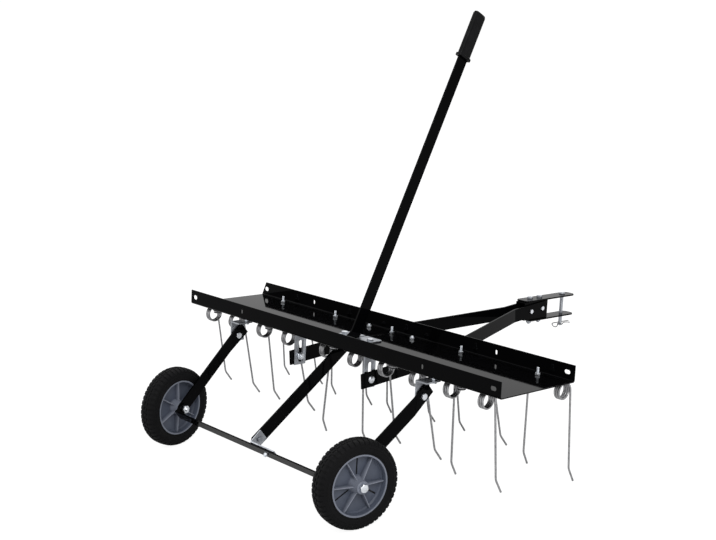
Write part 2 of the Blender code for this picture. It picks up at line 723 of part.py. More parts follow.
def add_wheel_bore(bm, side):
    """A hole for the wheel bolt through the arm and the axle ear."""
    made = bmesh.new()
    inner, outer = sorted((-side * (ear_span()[1] + OVERSHOOT),
                           -side * (ARM_SEAT - ARM_SHEET / 2 - OVERSHOOT)))
    drill(made, "X", (0, 0), WHEEL_BOLT / 2 + BORE_GAP, inner, outer)
    made.transform(wheel_matrix(side))
    add_bmesh(bm, made)


def ear_span():
    """Ear of the axle bar along the wheel's axis, inside the arm: near and far face."""
    near = ARM_SEAT + ARM_SHEET / 2 + GAP
    return near, near + AXLE_SHEET


def arm_tilt():
    """Turn about X that lays local Z along the arms, up from the wheels to the pivots."""
    return atan2(WHEEL_Y - PIVOT_Y, PIVOT_Z - WHEEL_Z)


def toed_x(inward, y):
    """Place along the tray of what lies inward along a wheel's axle and forward by y."""
    return WHEEL_X - inward / cos(WHEEL_TOE) + y * tan(WHEEL_TOE)


def make_axle_bar(lift):
    """Flat bar square to the arms, its ends bent up to the wheel bolts."""
    half = AXLE_WIDTH / 2
    near, far = ear_span()
    turn = Matrix.Rotation(arm_tilt(), 4, "X")
    bm = bmesh.new()
    strip = box_outline(-half, half, -AXLE_BEYOND - AXLE_SHEET, -AXLE_BEYOND)
    add_prism(bm, strip, "X", -1, 1)
    bm.transform(turn)
    for vert in bm.verts:
        vert.co.x *= toed_x(near, vert.co.y) - FLUSH
    bar = solid("axle_bar", bm, BLACK_COAT, lift)
    bar.location = (0, WHEEL_Y - PIVOT_Y, WHEEL_Z - PIVOT_Z)
    inset = half - FLUSH
    foot = -AXLE_BEYOND - AXLE_SHEET / 2
    forward = (near + far) / 2 * sin(WHEEL_TOE)
    eye = (forward * cos(arm_tilt()), -forward * sin(arm_tilt()))
    ear = arc(eye, half, 0, pi, 8) + [(-inset, foot), (inset, foot)]

    def ears(bm):
        for side in (-1, 1):
            made = bmesh.new()
            add_prism(made, ear, "X", near, far)
            made.transform(turn)
            for vert in made.verts:
                vert.co.x = side * toed_x(vert.co.x, vert.co.y)
            add_bmesh(bm, made)

    def holes(bm):
        for side in (-1, 1):
            add_wheel_bore(bm, side)
        bmesh.ops.translate(bm, vec=-bar.location, verts=bm.verts)

    def foot_hole(bm):
        made = bmesh.new()
        drill(made, "Z", (FOOT_BOLT_X, foot_middle()), SMALL_BOLT / 2 + BORE_GAP,
              -AXLE_BEYOND - AXLE_SHEET - OVERSHOOT, -AXLE_BEYOND + OVERSHOOT)
        made.transform(turn)
        add_bmesh(bm, made)

    cut(bar, ears, "UNION")
    cut(bar, holes)
    cut(bar, foot_hole)


def foot_middle():
    """Middle of the foot bracket across the arms."""
    return FOOT_BACK + FOOT_WIDTH / 2


def make_lever(lift):
    """The bent flat bar, its foot bracket and grip."""
    path = [Vector((y - PIVOT_Y, z - PIVOT_Z)) for y, z in lever_path()]
    run = (path[1] - path[0]).normalized()
    hub = Vector((WHEEL_Y - PIVOT_Y, WHEEL_Z - PIVOT_Z))
    up = -hub.normalized()
    across = Vector((up.y, -up.x))

    def spot(a, b):
        return tuple(hub + across * a + up * b)

    path[0] -= run * 2 * AXLE_BEYOND
    outline = band(path, LEVER_WIDTH, LEVER_RADIUS)
    lever = prism("lift_lever", outline, "X", -LEVER_SHEET / 2, LEVER_SHEET / 2, BLACK_COAT, lift)
    bolt_at = spot(foot_middle(), FOOT_BOLT_UP - AXLE_BEYOND)
    foot = GAP - AXLE_BEYOND
    back, low = -LEVER_WIDTH, foot - 2 * LEVER_WIDTH
    wide, high = FOOT_CHAMFER
    edge = FOOT_BACK
    waste = [spot(back, low), spot(LEVER_WIDTH, low), spot(LEVER_WIDTH, foot),
             spot(edge + wide, foot), spot(edge, foot + high), spot(back, foot + high)]

    def trim(bm):
        drill(bm, "X", bolt_at, SMALL_BOLT / 2 + BORE_GAP, -LEVER_SHEET, LEVER_SHEET)
        add_prism(bm, waste, "X", -LEVER_SHEET, LEVER_SHEET)

    cut(lever, trim)
    face = LEVER_SHEET / 2 + GAP
    sheet = BRACKET_SHEET
    angle = [(face, 0), (face + FOOT_PLATE, 0), (face + FOOT_PLATE, sheet), (face + sheet, sheet),
             (face + sheet, FOOT_RISE), (face, FOOT_RISE)]
    bracket = prism("lever_foot_bracket", angle, "Y", FOOT_BACK, FOOT_BACK + FOOT_WIDTH, ZINC, lift)
    bracket.location = (0, *spot(0, foot))
    bracket.rotation_euler = (arm_tilt(), 0, 0)

    def foot_holes(bm):
        drill(bm, "X", (foot_middle(), FOOT_BOLT_UP - GAP), SMALL_BOLT / 2 + BORE_GAP,
              face - OVERSHOOT, face + sheet + OVERSHOOT)

    cut(bracket, foot_holes)
    weld_stud(bracket, (FOOT_BOLT_X, foot_middle()), (0, sheet), -GAP - AXLE_SHEET, -1)
    fastener("lever_foot_bolt", "X", bolt_at, (-LEVER_SHEET / 2, face + sheet), ZINC, lift,
             small=True, flip=True)
    make_grip(lift)


def make_grip(lift):
    """Plastic grip with a collar, pushed over the end of the lever."""
    start = (LEVER_BEND[0] + LEVER_HAND * cos(LEVER_LEAN) - PIVOT_Y,
             LEVER_BEND[1] + LEVER_HAND * sin(LEVER_LEAN) - PIVOT_Z)
    collar_wide, collar_thick, collar_long = GRIP_COLLAR

    def section(wide, thick, steps=3):
        r = thick * GRIP_ROUNDING
        a, b = thick / 2 - r, wide / 2 - r
        corners = ((a, b, 0), (-a, b, pi / 2), (-a, -b, pi), (a, -b, 1.5 * pi))
        return [p for x, y, turn in corners for p in arc((x, y), r, turn, turn + pi / 2, steps)]

    rings = [(0, collar_wide, collar_thick), (collar_long, collar_wide, collar_thick),
             (collar_long + GRIP_STEP, GRIP_WIDTH, GRIP_THICK)]
    rings += [(GRIP_LENGTH - back, GRIP_WIDTH * share, GRIP_THICK * share)
              for back, share in GRIP_END]
    bm = bmesh.new()
    loops = [[bm.verts.new((x, y, at)) for x, y in section(wide, thick)] for at, wide, thick in rings]
    bm.faces.new(loops[0])
    bm.faces.new(loops[-1][::-1])
    for low, high in zip(loops, loops[1:]):
        for i in range(len(low)):
            j = (i + 1) % len(low)
            bm.faces.new((low[i], low[j], high[j], high[i]))
    grip = solid("grip", bm, GRIP_PLASTIC, lift, smooth=True)
    grip.location = (0, *start)
    grip.rotation_euler = (LEVER_LEAN - pi / 2, 0, 0)
    pocket = box_outline(-LEVER_SHEET / 2 - GAP, LEVER_SHEET / 2 + GAP,
                         -LEVER_WIDTH / 2 - GAP, LEVER_WIDTH / 2 + GAP)
    cut(grip, lambda bm: add_prism(bm, pocket, "Z", -OVERSHOOT, GRIP_LENGTH - GRIP_CAP + GAP))


def make_guide(root):
    """Forked plate on the tray that keeps the lever in line, and its bolts."""
    slot_half = LEVER_SHEET / 2 + SLIDE_GAP
    root_y = slot_span()[0]
    back = min(GUIDE_BACK, root_y - GUIDE_BRIDGE)
    outline = [(-GUIDE_X, back), (GUIDE_X, back), (GUIDE_X, GUIDE_FRONT), (slot_half, GUIDE_FRONT),
               (slot_half, root_y), (-slot_half, root_y), (-slot_half, GUIDE_FRONT),
               (-GUIDE_X, GUIDE_FRONT)]
    low = TRAY_SHEET + GAP
    guide = prism("lever_guide", outline, "Z", low, low + GUIDE_SHEET, ZINC, root)

    for side in (-1, 1):
        weld_stud(guide, (side * GUIDE_BOLT[0], GUIDE_BOLT[1]), (low, low + GUIDE_SHEET), 0, -1)


def make_wheels(lift):
    """Tyres and rims in frames on their axles, and the bolts that they turn on."""
    half, rim_half = TYRE_WIDTH / 2, RIM_WIDTH / 2
    for name, side in (("left", -1), ("right", 1)):
        hub = empty(f"wheel_axis_{name}", lift)
        hub.matrix_local = wheel_matrix(side)
        shoulder = [(0, TYRE_RADIUS)]
        shoulder += [(half * share, TYRE_RADIUS - drop) for share, drop in TYRE_SHOULDER]
        shoulder += [(half, RIM_RADIUS + TYRE_BEAD), (half * TYRE_SEAT, RIM_RADIUS + GAP)]
        tyre = shoulder + [(-a, r) for a, r in shoulder[:0:-1]]
        turned(f"tyre_{name}", tyre, TYRE_RUBBER, hub, WHEEL_STEPS)
        web = RIM_WEB / 2
        bore = WHEEL_BOLT / 2 + RUNNING_GAP
        rim = [(-rim_half, RIM_RADIUS), (rim_half, RIM_RADIUS), (rim_half, RIM_RADIUS - RIM_WALL),
               (web, RIM_RADIUS - RIM_WALL - RIM_FLARE), (web, HUB_RADIUS + HUB_FLARE),
               (HUB_OUT, HUB_NOSE), (HUB_OUT, bore), (-HUB_IN, bore), (-HUB_IN, HUB_RADIUS),
               (-web, HUB_RADIUS + HUB_FLARE), (-web, RIM_RADIUS - RIM_WALL - RIM_FLARE),
               (-rim_half, RIM_RADIUS - RIM_WALL)]
        turned(f"rim_{name}", [(side * a, r) for a, r in rim], RIM_PLASTIC, hub, WHEEL_STEPS)
        make_wheel_bolt(name, side, lift)


def make_wheel_bolt(name, side, lift):
    """Shoulder bolt from outside the hub, through arm and ear, with its nut inside."""
    shank, flats = WHEEL_BOLT / 2, WHEEL_FLATS / 2
    outer = HUB_OUT + RUNNING_GAP
    arm_face = -ARM_SEAT + ARM_SHEET / 2 + GAP
    inner = -ear_span()[1] - GAP
    rings = ((outer + WHEEL_HEAD, "hex", flats), (outer, "hex", flats), (outer, "round", shank),
             (-HUB_IN - RUNNING_GAP, "round", shank),
             (-HUB_IN - RUNNING_GAP, "round", WHEEL_WASHER / 2),
             (arm_face, "round", WHEEL_WASHER / 2),
             (arm_face, "round", shank), (inner, "round", shank), (inner, "hex", flats),
             (inner - WHEEL_NUT, "hex", flats), (inner - WHEEL_NUT, "round", shank),
             (inner - WHEEL_NUT - THREAD_END, "round", shank))
    bolt = stack(f"wheel_bolt_{name}", [(side * at, kind, r) for at, kind, r in rings], "X",
                 (0, 0), ZINC, lift)
    bolt.matrix_local = wheel_matrix(side)


def bar_z(y):
    """Height of the drawbar's middle at rest."""
    return BAR_REAR_Z + (y - BAR_REAR_Y) * tan(BAR_SLOPE)


def hanger_travel():
    """Least and greatest y, least and greatest z of the hanger bolt as the drawbar swings."""
    back, up = HANGER_Y - DRAW_PIVOT_Y, bar_z(HANGER_Y) - bar_z(DRAW_PIVOT_Y)
    turns = [DRAW_UP - (DRAW_UP + DRAW_DOWN) * i / 10 for i in range(11)]
    ys = [DRAW_PIVOT_Y + back * cos(t) - up * sin(t) for t in turns]
    zs = [bar_z(DRAW_PIVOT_Y) + back * sin(t) + up * cos(t) for t in turns]
    return min(ys), max(ys), min(zs), max(zs)


def make_drawbar(root):
    """Bars, hitch and pin, on a frame at the drawbar's pivot that lies along the bars."""
    draw = empty("drawbar_axis", root, (0, DRAW_PIVOT_Y, bar_z(DRAW_PIVOT_Y)), (BAR_SLOPE, 0, 0))
    level = empty("hitch_frame", draw, turn=(-BAR_SLOPE, 0, 0))
    hanger_at = (HANGER_Y - DRAW_PIVOT_Y) / cos(BAR_SLOPE)
    cross_at = [(y - DRAW_PIVOT_Y) / cos(BAR_SLOPE) for y in CROSS_BOLTS]
    for name, side in (("left", -1), ("right", 1)):
        path = [(side * BAR_X, BAR_REAR_Y), (side * BAR_X, BAR_BEND_Y),
                (side * BAR_MEET_X, BAR_MEET_Y), (side * BAR_MEET_X, BAR_END_Y)]
        path = [(x, (y - DRAW_PIVOT_Y) / cos(BAR_SLOPE)) for x, y in path]
        outline = band(path, BAR_SHEET, BAR_RADIUS, 3)
        bar = prism(f"tow_bar_{name}", outline, "Z", -BAR_HEIGHT / 2, BAR_HEIGHT / 2,
                    BLACK_COAT, draw)

        def holes(bm):
            for y in (0, hanger_at):
                drill(bm, "X", (y, 0), BOLT / 2 + BORE_GAP, side * BAR_X - BAR_SHEET,
                      side * BAR_X + BAR_SHEET)
            for y in cross_at:
                drill(bm, "X", (y, 0), SMALL_BOLT / 2 + BORE_GAP, side * BAR_MEET_X - BAR_SHEET,
                      side * BAR_MEET_X + BAR_SHEET)

        cut(bar, holes)
        make_bar_carriers(root, draw, name, side, hanger_at)
    make_hitch(level, draw, cross_at)


def make_bar_carriers(root, draw, name, side, hanger_at):
    """The slotted hanger and the pivot angle of one bar, inside it, with their bolts."""
    inner = BAR_X - BAR_SHEET / 2 - GAP
    outer = BAR_X + BAR_SHEET / 2
    sheet = BRACKET_SHEET
    pivot_z = bar_z(DRAW_PIVOT_Y)
    carriers = (("hanger", HANGER_Y, HANGER_WIDTH, HANGER_FLANGE, HANGER_FOOT, FLANGE_BOLT_X,
                 HANGER_Y),
                ("tow_pivot", DRAW_PIVOT_Y + PIVOT_FORWARD, HANGER_WIDTH, PIVOT_FLANGE,
                 pivot_z - HANGER_WIDTH / 2, PIVOT_BOLT_X, FRONT_TINE_Y))
    for kind, y, width, flange, foot, bolt_x, bolt_y in carriers:
        angle = [(inner, foot), (inner, -GAP), (inner - flange, -GAP),
                 (inner - flange, -GAP - sheet), (inner - sheet, -GAP - sheet),
                 (inner - sheet, foot)]
        carrier = prism(f"{kind}_{name}", [(side * x, z) for x, z in angle], "Y", y - width / 2,
                        y + width / 2, ZINC, root)

        def holes(bm):
            low, high = sorted((side * (inner - sheet - OVERSHOOT), side * (inner + OVERSHOOT)))
            if kind == "hanger":
                back, front, lowest, highest = hanger_travel()
                slot = slot_outline(((back + front) / 2, (lowest + highest) / 2),
                                    front - back + BOLT + 2 * BORE_GAP,
                                    highest - lowest + BOLT + 2 * SLOT_END)
                add_prism(bm, slot, "X", low, high)
            else:
                drill(bm, "X", (DRAW_PIVOT_Y, pivot_z), BOLT / 2 + BORE_GAP, low, high)

        cut(carrier, holes)
        weld_stud(carrier, (side * bolt_x, bolt_y), (-GAP - sheet, -GAP), TRAY_SHEET)
    seats = sorted((side * (inner - sheet), side * outer))
    nut_inside = side > 0
    fastener(f"hanger_bolt_{name}", "X", (hanger_at, 0), seats, ZINC, draw, flip=nut_inside)
    fastener(f"tow_pivot_bolt_{name}", "X", (DRAW_PIVOT_Y, pivot_z), seats, ZINC, root,
             flip=nut_inside)


def tongue_outline(back):
    """A tongue in plan, with round corners behind and a rounded nose."""
    half, r, nose = TONGUE_WIDTH / 2, TONGUE_CORNER, TONGUE_NOSE
    return (arc((half - r, back + r), r, 0, -pi / 2, 3)
            + arc((-half + r, back + r), r, -pi / 2, -pi, 3)
            + arc((-half + nose, TONGUE_FRONT - nose), nose, pi, pi / 2, 4)
            + arc((half - nose, TONGUE_FRONT - nose), nose, pi / 2, 0, 4))


def make_hitch(level, draw, cross_at):
    """Box bracket between the bars, two tongues, their bolts, the pin and its clip."""
    lift_z = -bar_z(DRAW_PIVOT_Y)
    shift = Vector((0, -DRAW_PIVOT_Y, lift_z))

    def place(thing):
        thing.location = shift
        return thing

    half = TUBE_WIDTH / 2
    tube = place(prism("hitch_bracket", box_outline(-half, half, TUBE_FOOT, TUBE_TOP), "Y",
                       TUBE_BACK, TUBE_FRONT, BLACK_COAT, level))
    cross = [(DRAW_PIVOT_Y + at * cos(BAR_SLOPE), bar_z(DRAW_PIVOT_Y) + at * sin(BAR_SLOPE))
             for at in cross_at]

    def hollow(bm):
        inner = half - TUBE_WALL
        add_prism(bm, box_outline(-inner, inner, TUBE_FOOT + TUBE_WALL, TUBE_TOP - TUBE_WALL),
                  "Y", TUBE_BACK - OVERSHOOT, TUBE_FRONT + OVERSHOOT)

    def holes(bm):
        for y, z in cross:
            drill(bm, "X", (y, z), SMALL_BOLT / 2 + BORE_GAP, -half - OVERSHOOT,
                  half + OVERSHOOT)

    def upright(bm):
        for y in UPRIGHT_BOLTS:
            drill(bm, "Z", (0, y), BOLT / 2 + BORE_GAP, TUBE_FOOT - OVERSHOOT,
                  TUBE_TOP + OVERSHOOT)

    cut(tube, hollow)
    cut(tube, holes)
    cut(tube, upright)
    top = TUBE_TOP + GAP
    low = TUBE_FOOT - GAP - TONGUE_SHEET
    for name, back, foot in (("hitch_top_plate", TOP_TONGUE_BACK, top),
                             ("hitch_bottom_plate", LOW_TONGUE_BACK, low)):
        plate = place(prism(name, tongue_outline(back), "Z", foot, foot + TONGUE_SHEET,
                            BLACK_COAT, level))
        for y in (TUBE_FRONT + TONGUE_MARGIN, PIN_Y - PIN_MARGIN):
            score(plate, (0, 1, 0), y)

        def bores(bm):
            under, over = foot - OVERSHOOT, foot + TONGUE_SHEET + OVERSHOOT
            for y in UPRIGHT_BOLTS:
                drill(bm, "Z", (0, y), BOLT / 2 + BORE_GAP, under, over)
            drill(bm, "Z", (0, PIN_Y), PIN / 2 + BORE_GAP, under, over)

        cut(plate, bores)
    for name, y in zip(("rear", "front"), UPRIGHT_BOLTS):
        place(fastener(f"hitch_upright_bolt_{name}", "Z", (0, y), (low, top + TONGUE_SHEET), ZINC,
                       level, flip=True))
    bar_face = BAR_MEET_X + BAR_SHEET / 2
    for name, at in zip(("rear", "front"), cross_at):
        fastener(f"hitch_cross_bolt_{name}", "X", (at, 0), (-bar_face, bar_face), ZINC, draw,
                 small=True, flip=True)
    make_pin(level, place, top + TONGUE_SHEET + GAP)


def make_pin(level, place, seat):
    """The hitch pin with its cross hole, and the spring clip through it."""
    wide, high = PIN_HEAD
    radius = PIN / 2
    pin = place(stack("hitch_pin",
                      ((PIN_FOOT, "round", radius - PIN_CHAMFER),
                       (PIN_FOOT + PIN_CHAMFER, "round", radius),
                       (seat, "round", radius), (seat, "round", wide / 2),
                       (seat + high - PIN_CHAMFER, "round", wide / 2),
                       (seat + high, "round", wide / 2 - PIN_CHAMFER)),
                      "Z", (0, PIN_Y), ZINC, level))
    cut(pin, lambda bm: drill(bm, "Y", (0, CLIP_Z), CLIP_WIRE / 2 + GAP, PIN_Y - wide,
                              PIN_Y + wide))
    hug = (radius + CLIP_WIRE / 2 + GAP * 2) / cos(CLIP_TILT)
    loop = arc((-CLIP_BACK, CLIP_LOOP), CLIP_LOOP, -pi / 2, -1.5 * pi, 8)
    spring = [(-CLIP_BACK + CLIP_MOUTH, 1.75 * CLIP_LOOP), (-hug * 1.4, CLIP_WIRE * 1.6),
              (-hug * 0.7, hug * 0.75), (0, hug), (hug * 0.7, hug * 0.75),
              (hug * 1.4, CLIP_WIRE * 1.6), (CLIP_FRONT - CLIP_TAIL, CLIP_WIRE * 1.8),
              (CLIP_FRONT, CLIP_WIRE * 2.8)]
    flat = [(CLIP_FRONT, 0), (-CLIP_BACK, 0)] + loop[1:] + spring
    points = [Vector((b * cos(CLIP_TILT), PIN_Y + a, CLIP_Z - b * sin(CLIP_TILT))) for a, b in flat]
    place(wire_object("r_clip", points, CLIP_WIRE, SPRING_STEEL, level))


def wheel_to_tip():
    """Vector from a wheel's axle to the lowest front tine point, in the (y, z) plane."""
    wires = [tine_points(*leans) for _, *leans in FRONT_TINES]
    tips = [wire[end] for wire in wires for end in (0, -1)]
    return min(((FRONT_TINE_Y + tip.y - WHEEL_Y, tip.z - WHEEL_Z) for tip in tips),
               key=lambda p: atan2(p[1] - WIRE / 2, p[0]))


def stand_pitch():
    """How far the tray leans forward when wheels and front points stand on the ground."""
    dy, dz = wheel_to_tip()
    return atan2(dz, dy) + asin((TYRE_RADIUS - WIRE / 2) / hypot(dy, dz))


def settle(root):
    """Puts the origin under the middle of the machine's box."""
    bpy.context.view_layer.update()
    graph = bpy.context.evaluated_depsgraph_get()
    corners = []
    for thing in bpy.data.objects:
        if thing.type in {"MESH", "CURVE"} and not thing.hide_render:
            made = thing.evaluated_get(graph)
            mesh = made.to_mesh()
            corners += [made.matrix_world @ vert.co for vert in mesh.vertices]
            made.to_mesh_clear()
    low = [min(c[i] for c in corners) for i in range(3)]
    high = [max(c[i] for c in corners) for i in range(3)]
    root.location = (-(low[0] + high[0]) / 2, -(low[1] + high[1]) / 2, -low[2])


def build():
    clear_scene()
    pitch = stand_pitch()
    root = empty("machine", None, turn=(-pitch, 0, 0))
    make_tray(root)
    make_tines(root)
    make_arm_brackets(root)
    lift = empty("lift_axis", root, (0, PIVOT_Y, PIVOT_Z))
    make_arms(lift)
    make_axle_bar(lift)
    make_lever(lift)
    make_wheels(lift)
    make_guide(root)
    make_drawbar(root)
    settle(root)
    print(f"stands {degrees(pitch):.2f} degrees nose down")


build()
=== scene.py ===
"""Looks of a tow-behind dethatcher: tray, spring tines, drawbar, lift frame and wheels.

Pieces are modelled in the tray's own frame (X along the tray, Y towards the hitch, Z up
from its underside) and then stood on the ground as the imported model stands.
"""

import json
from contextlib import contextmanager
from math import atan2, ceil, cos, hypot, pi, radians, sin, sqrt, tan

import bmesh
import bpy
from mathutils import Matrix, Vector


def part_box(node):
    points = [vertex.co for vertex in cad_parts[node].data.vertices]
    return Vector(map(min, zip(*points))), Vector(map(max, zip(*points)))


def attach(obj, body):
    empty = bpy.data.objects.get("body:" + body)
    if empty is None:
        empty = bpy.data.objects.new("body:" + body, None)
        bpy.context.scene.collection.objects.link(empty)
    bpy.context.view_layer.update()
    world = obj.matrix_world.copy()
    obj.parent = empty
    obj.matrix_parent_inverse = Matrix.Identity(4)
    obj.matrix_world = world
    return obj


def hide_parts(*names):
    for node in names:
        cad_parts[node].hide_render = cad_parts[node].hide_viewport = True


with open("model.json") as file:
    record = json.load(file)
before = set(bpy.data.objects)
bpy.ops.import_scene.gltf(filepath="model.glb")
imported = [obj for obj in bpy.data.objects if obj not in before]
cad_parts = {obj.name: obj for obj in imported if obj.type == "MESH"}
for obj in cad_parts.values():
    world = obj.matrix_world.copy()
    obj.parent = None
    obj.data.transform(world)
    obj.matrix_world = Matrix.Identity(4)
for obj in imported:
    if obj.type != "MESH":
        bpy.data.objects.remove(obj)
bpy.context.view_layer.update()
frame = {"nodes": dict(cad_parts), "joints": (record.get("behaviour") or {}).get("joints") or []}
joints = {joint["name"]: joint for joint in frame["joints"]}

GAP = 0.0003
# Broken edges: of bars, of the hitch, and where nothing else is said
BAR_EDGE = 0.0007
HITCH_EDGE = 0.0006
EDGE = 0.0005

# Tray
TRAY_LENGTH = 1.02
TRAY_DEPTH = 0.227
TRAY_HEIGHT = 0.0356
TRAY_SHEET = 0.0025
TRAY_BEND = 0.005
HOLE_HEIGHT = 0.0185
FRONT_SLANT = 0.014
# Slots through both flanges: place, width, height
END_SLOTS = ((-0.493, 0.0150, 0.0105), (0.491, 0.0150, 0.0085))
SMALL_SLOTS = ((-0.301, 0.0060, 0.0098), (0.301, 0.0060, 0.0098))
LEVER_SLOT = (0.0454, 0.1778)
LEVER_SLOT_HALF = 0.0035
GUIDE_HALF = 0.053
GUIDE_ENDS = (0.0374, 0.126)
GUIDE_SHEET = 0.003
GUIDE_BOLT = (0.043, 0.098)

# Fasteners: thread, across flats, head, nut
M8 = (0.008, 0.013, 0.0053, 0.0065)
M6 = (0.006, 0.010, 0.004, 0.005)
M10 = (0.010, 0.016, 0.0064, 0.008)
THREAD_END = 0.003
ROUND_HEAD = 0.0083
PRESSED_WASHER = 0.0014

# Tines: place along the tray, lean of the left and the right arm in degrees
WIRE = 0.0045
WIRE_GAP = 0.0005
COIL_RADIUS = 0.0172
COIL_PITCH = 0.0051
COIL_TURNS = 3
COIL_POINTS = 24
COIL_FORWARD = 0.0225
COIL_SPREAD = 0.0545
TIP_SPREAD = 0.0629
ARM_LENGTH = 0.167
POINT_LENGTH = 0.0325
POINT_BEND = radians(27)
ELBOW_RADIUS = 0.022
YOKE_FILLET = 0.006
EYE_FILLET = 0.004
EYE_RADIUS = 0.0072
CLAMP_SHEET = 0.002
CLAMP_RADIUS = 0.012
YOKE_Z = -GAP - CLAMP_SHEET - WIRE_GAP - WIRE / 2
TINE_HEAD = (0.0092, 0.0024)
TINE_THREAD = 0.0190
TINE_ROWS = {
    "rear": (0.018, ((-0.4225, 12.2, 10.4), (-0.2175, 10.8, 12.5), (0.0125, -3.0, 0.3),
                     (0.2025, 12.1, 11.5), (0.3945, 4.0, 3.3))),
    "front": (0.2015, ((-0.394, 7.6, 10.1), (-0.193, 4.1, 6.3), (0.005, 5.5, 11.6),
                       (0.222, 12.9, 13.0), (0.4355, 2.9, 1.8))),
}

# Lift frame
PIVOT_Y = -0.003
PIVOT_Z = -0.040
WHEEL_Y = -0.1775
WHEEL_Z = -0.1864
BRACKET_SHEET = 0.003
ANGLE_BEND = 0.004
ARM_ANGLE_LENGTH = 0.031
ARM_ANGLE_SPACER = 0.0048
ARM_ANGLE_BOLT = (0.021, 0.0115)
ARM_SHEET = 0.004
ARM_SEAT = 0.0265
AXLE_SHEET = 0.0034
AXLE_BEYOND = 0.0142
FOOT_PLATE = 0.080
FOOT_BACK = -0.0160
FOOT_WIDTH = 0.027
FOOT_RISE = 0.034
FOOT_BOLT = (0.054, 0.019)
LEVER_SHEET = 0.004
LEVER_BEND = (0.092, 0.0135)
LEVER_LEAN = radians(64.3)
LEVER_HAND = 0.687
GRIP_LENGTH = 0.116
GRIP_HALF = (0.007, 0.0185)
GRIP_GROOVES = (0.069, 0.076, 0.083, 0.090)
TYRE_RADIUS = 0.091
TYRE_HALF = 0.021
RIM_RADIUS = 0.0629
RIM_HALF = 0.0185
HUB_RADIUS = 0.0155
HUB_NOSE = 0.0125
HUB_OUT = 0.0285
HUB_IN = 0.0225
HUB_BORE = 0.0053
HUB_SPACER = 0.010
WEB_HALF = 0.003
WEB_FROM = HUB_RADIUS + 0.0035
WALL_RADIUS = RIM_RADIUS - 0.0032
SLIT_HALF = 0.0017
SLIT_FLOOR = 0.0008
LUGS = 48
LUG_HALF = (0.0040, 0.0036)
RIBS = 6
RIB_RISE = {1: 0.019, -1: 0.016}
RIB_WALL = 0.0125
RIB_HALF = 0.0009
WHEEL_TURN = {"left": 0.0, "right": radians(30)}

# Drawbar
BAR_X = 0.1207
BAR_SHEET = 0.0045
BAR_REAR = (0.0041, -0.0558)
BAR_SLOPE = atan2(0.0567, 0.6315)
BAR_MEET_X = 0.0172
DRAW_PIVOT_Y = 0.190
HANGER_Y = 0.030
HANGER_SLOT = (0.0250, 0.0351, -0.0669, -0.0163)
# Angles that carry the bars: flange, stud from the middle of the tray
CARRIER_HALF = 0.0165
HANGER_ANGLE = (0.032, 0.099)
HANGER_FOOT = -0.073
TOW_ANGLE = (0.0545, 0.0715)
TUBE_TOP = 0.0282
TUBE_FOOT = -0.0185
TONGUE_SHEET = 0.004
UPRIGHT_BOLTS = (0.697, 0.7345)
CROSS_BOLTS = (0.680, 0.7235)
PIN_Y = 0.828
PIN_RADIUS = 0.00475
PIN_HEAD = 0.0080
PIN_FOOT = -0.052
CLIP_Z = -0.043
CLIP_WIRE = 0.0024
CLIP_TILT = radians(40)
CLIP_LOOP = 0.0065
CLIP_ENDS = (0.030, 0.036)

# Studio: the floor's own light and how far the camera sees it, the sky's light on the pieces
FLOOR_WHITE = 0.93
FLOOR_GLOW = 1.22
FLOOR_SEEN = 0.75
SKY_LIGHT = 0.55
# The photograph's camera in the tray's frame
CAMERA_PLACE = (1.9319, -1.6894, 0.6228)
CAMERA_RIGHT = (0.67112, 0.73997, 0.04515)
CAMERA_UP = (-0.15864, 0.08385, 0.98377)
CAMERA_LENS = 60.46


# The bench

def tray_frame():
    """Matrix from the tray's frame to the ground's, read from the pin's and the lift's joints."""
    up = Vector(joints["pin_lift"]["axis"]).normalized()
    forward = Vector((0, up.z, -up.y))
    turn = Matrix((Vector((1, 0, 0)), forward, up)).transposed().to_4x4()
    pivot = Vector(joints["lift_swing"]["pos_m"])
    return Matrix.Translation(pivot - turn @ Vector((0, PIVOT_Y, PIVOT_Z))) @ turn


TRAY = tray_frame()


def take(piece):
    bpy.ops.object.select_all(action="DESELECT")
    piece.select_set(True)
    bpy.context.view_layer.objects.active = piece


@contextmanager
def bench(piece, mode="VERT"):
    """Edit mode on one piece, with nothing picked."""
    take(piece)
    bpy.ops.object.mode_set(mode="EDIT")
    bpy.ops.mesh.select_mode(type=mode)
    bpy.ops.mesh.select_all(action="DESELECT")
    yield
    bpy.ops.object.mode_set(mode="OBJECT")


def pick(kind, test):
    """Picks the corners, edges or faces that pass a test, and drops the rest."""
    bpy.ops.mesh.select_all(action="DESELECT")
    shape = bmesh.from_edit_mesh(bpy.context.object.data)
    shape.normal_update()
    for part in getattr(shape, kind):
        if test(part):
            part.select_set(True)
    bmesh.update_edit_mesh(bpy.context.object.data)


def middle(part):
    """Middle of an edge or face."""
    return sum((vert.co for vert in part.verts), Vector()) / len(part.verts)


def apply(piece, kind, **settings):
    """Puts a modifier on a piece and applies it."""
    take(piece)
    step = piece.modifiers.new(kind.lower(), kind)
    for setting, value in settings.items():
        setattr(step, setting, value)
    bpy.ops.object.modifier_apply(modifier=step.name)


def cut(piece, tool, operation="DIFFERENCE"):
    apply(piece, "BOOLEAN", operation=operation, solver="EXACT", object=tool)
    bpy.data.objects.remove(tool)


def soften(piece, width=EDGE, segments=2, angle=30):
    """Breaks the sharp edges of a piece and shades it smooth, its flat faces left flat."""
    apply(piece, "BEVEL", width=width, segments=segments, limit_method="ANGLE",
          angle_limit=radians(angle), use_clamp_overlap=True)
    take(piece)
    bpy.ops.object.shade_smooth_by_angle(angle=radians(32))
    apply(piece, "WEIGHTED_NORMAL", weight=100, keep_sharp=True)


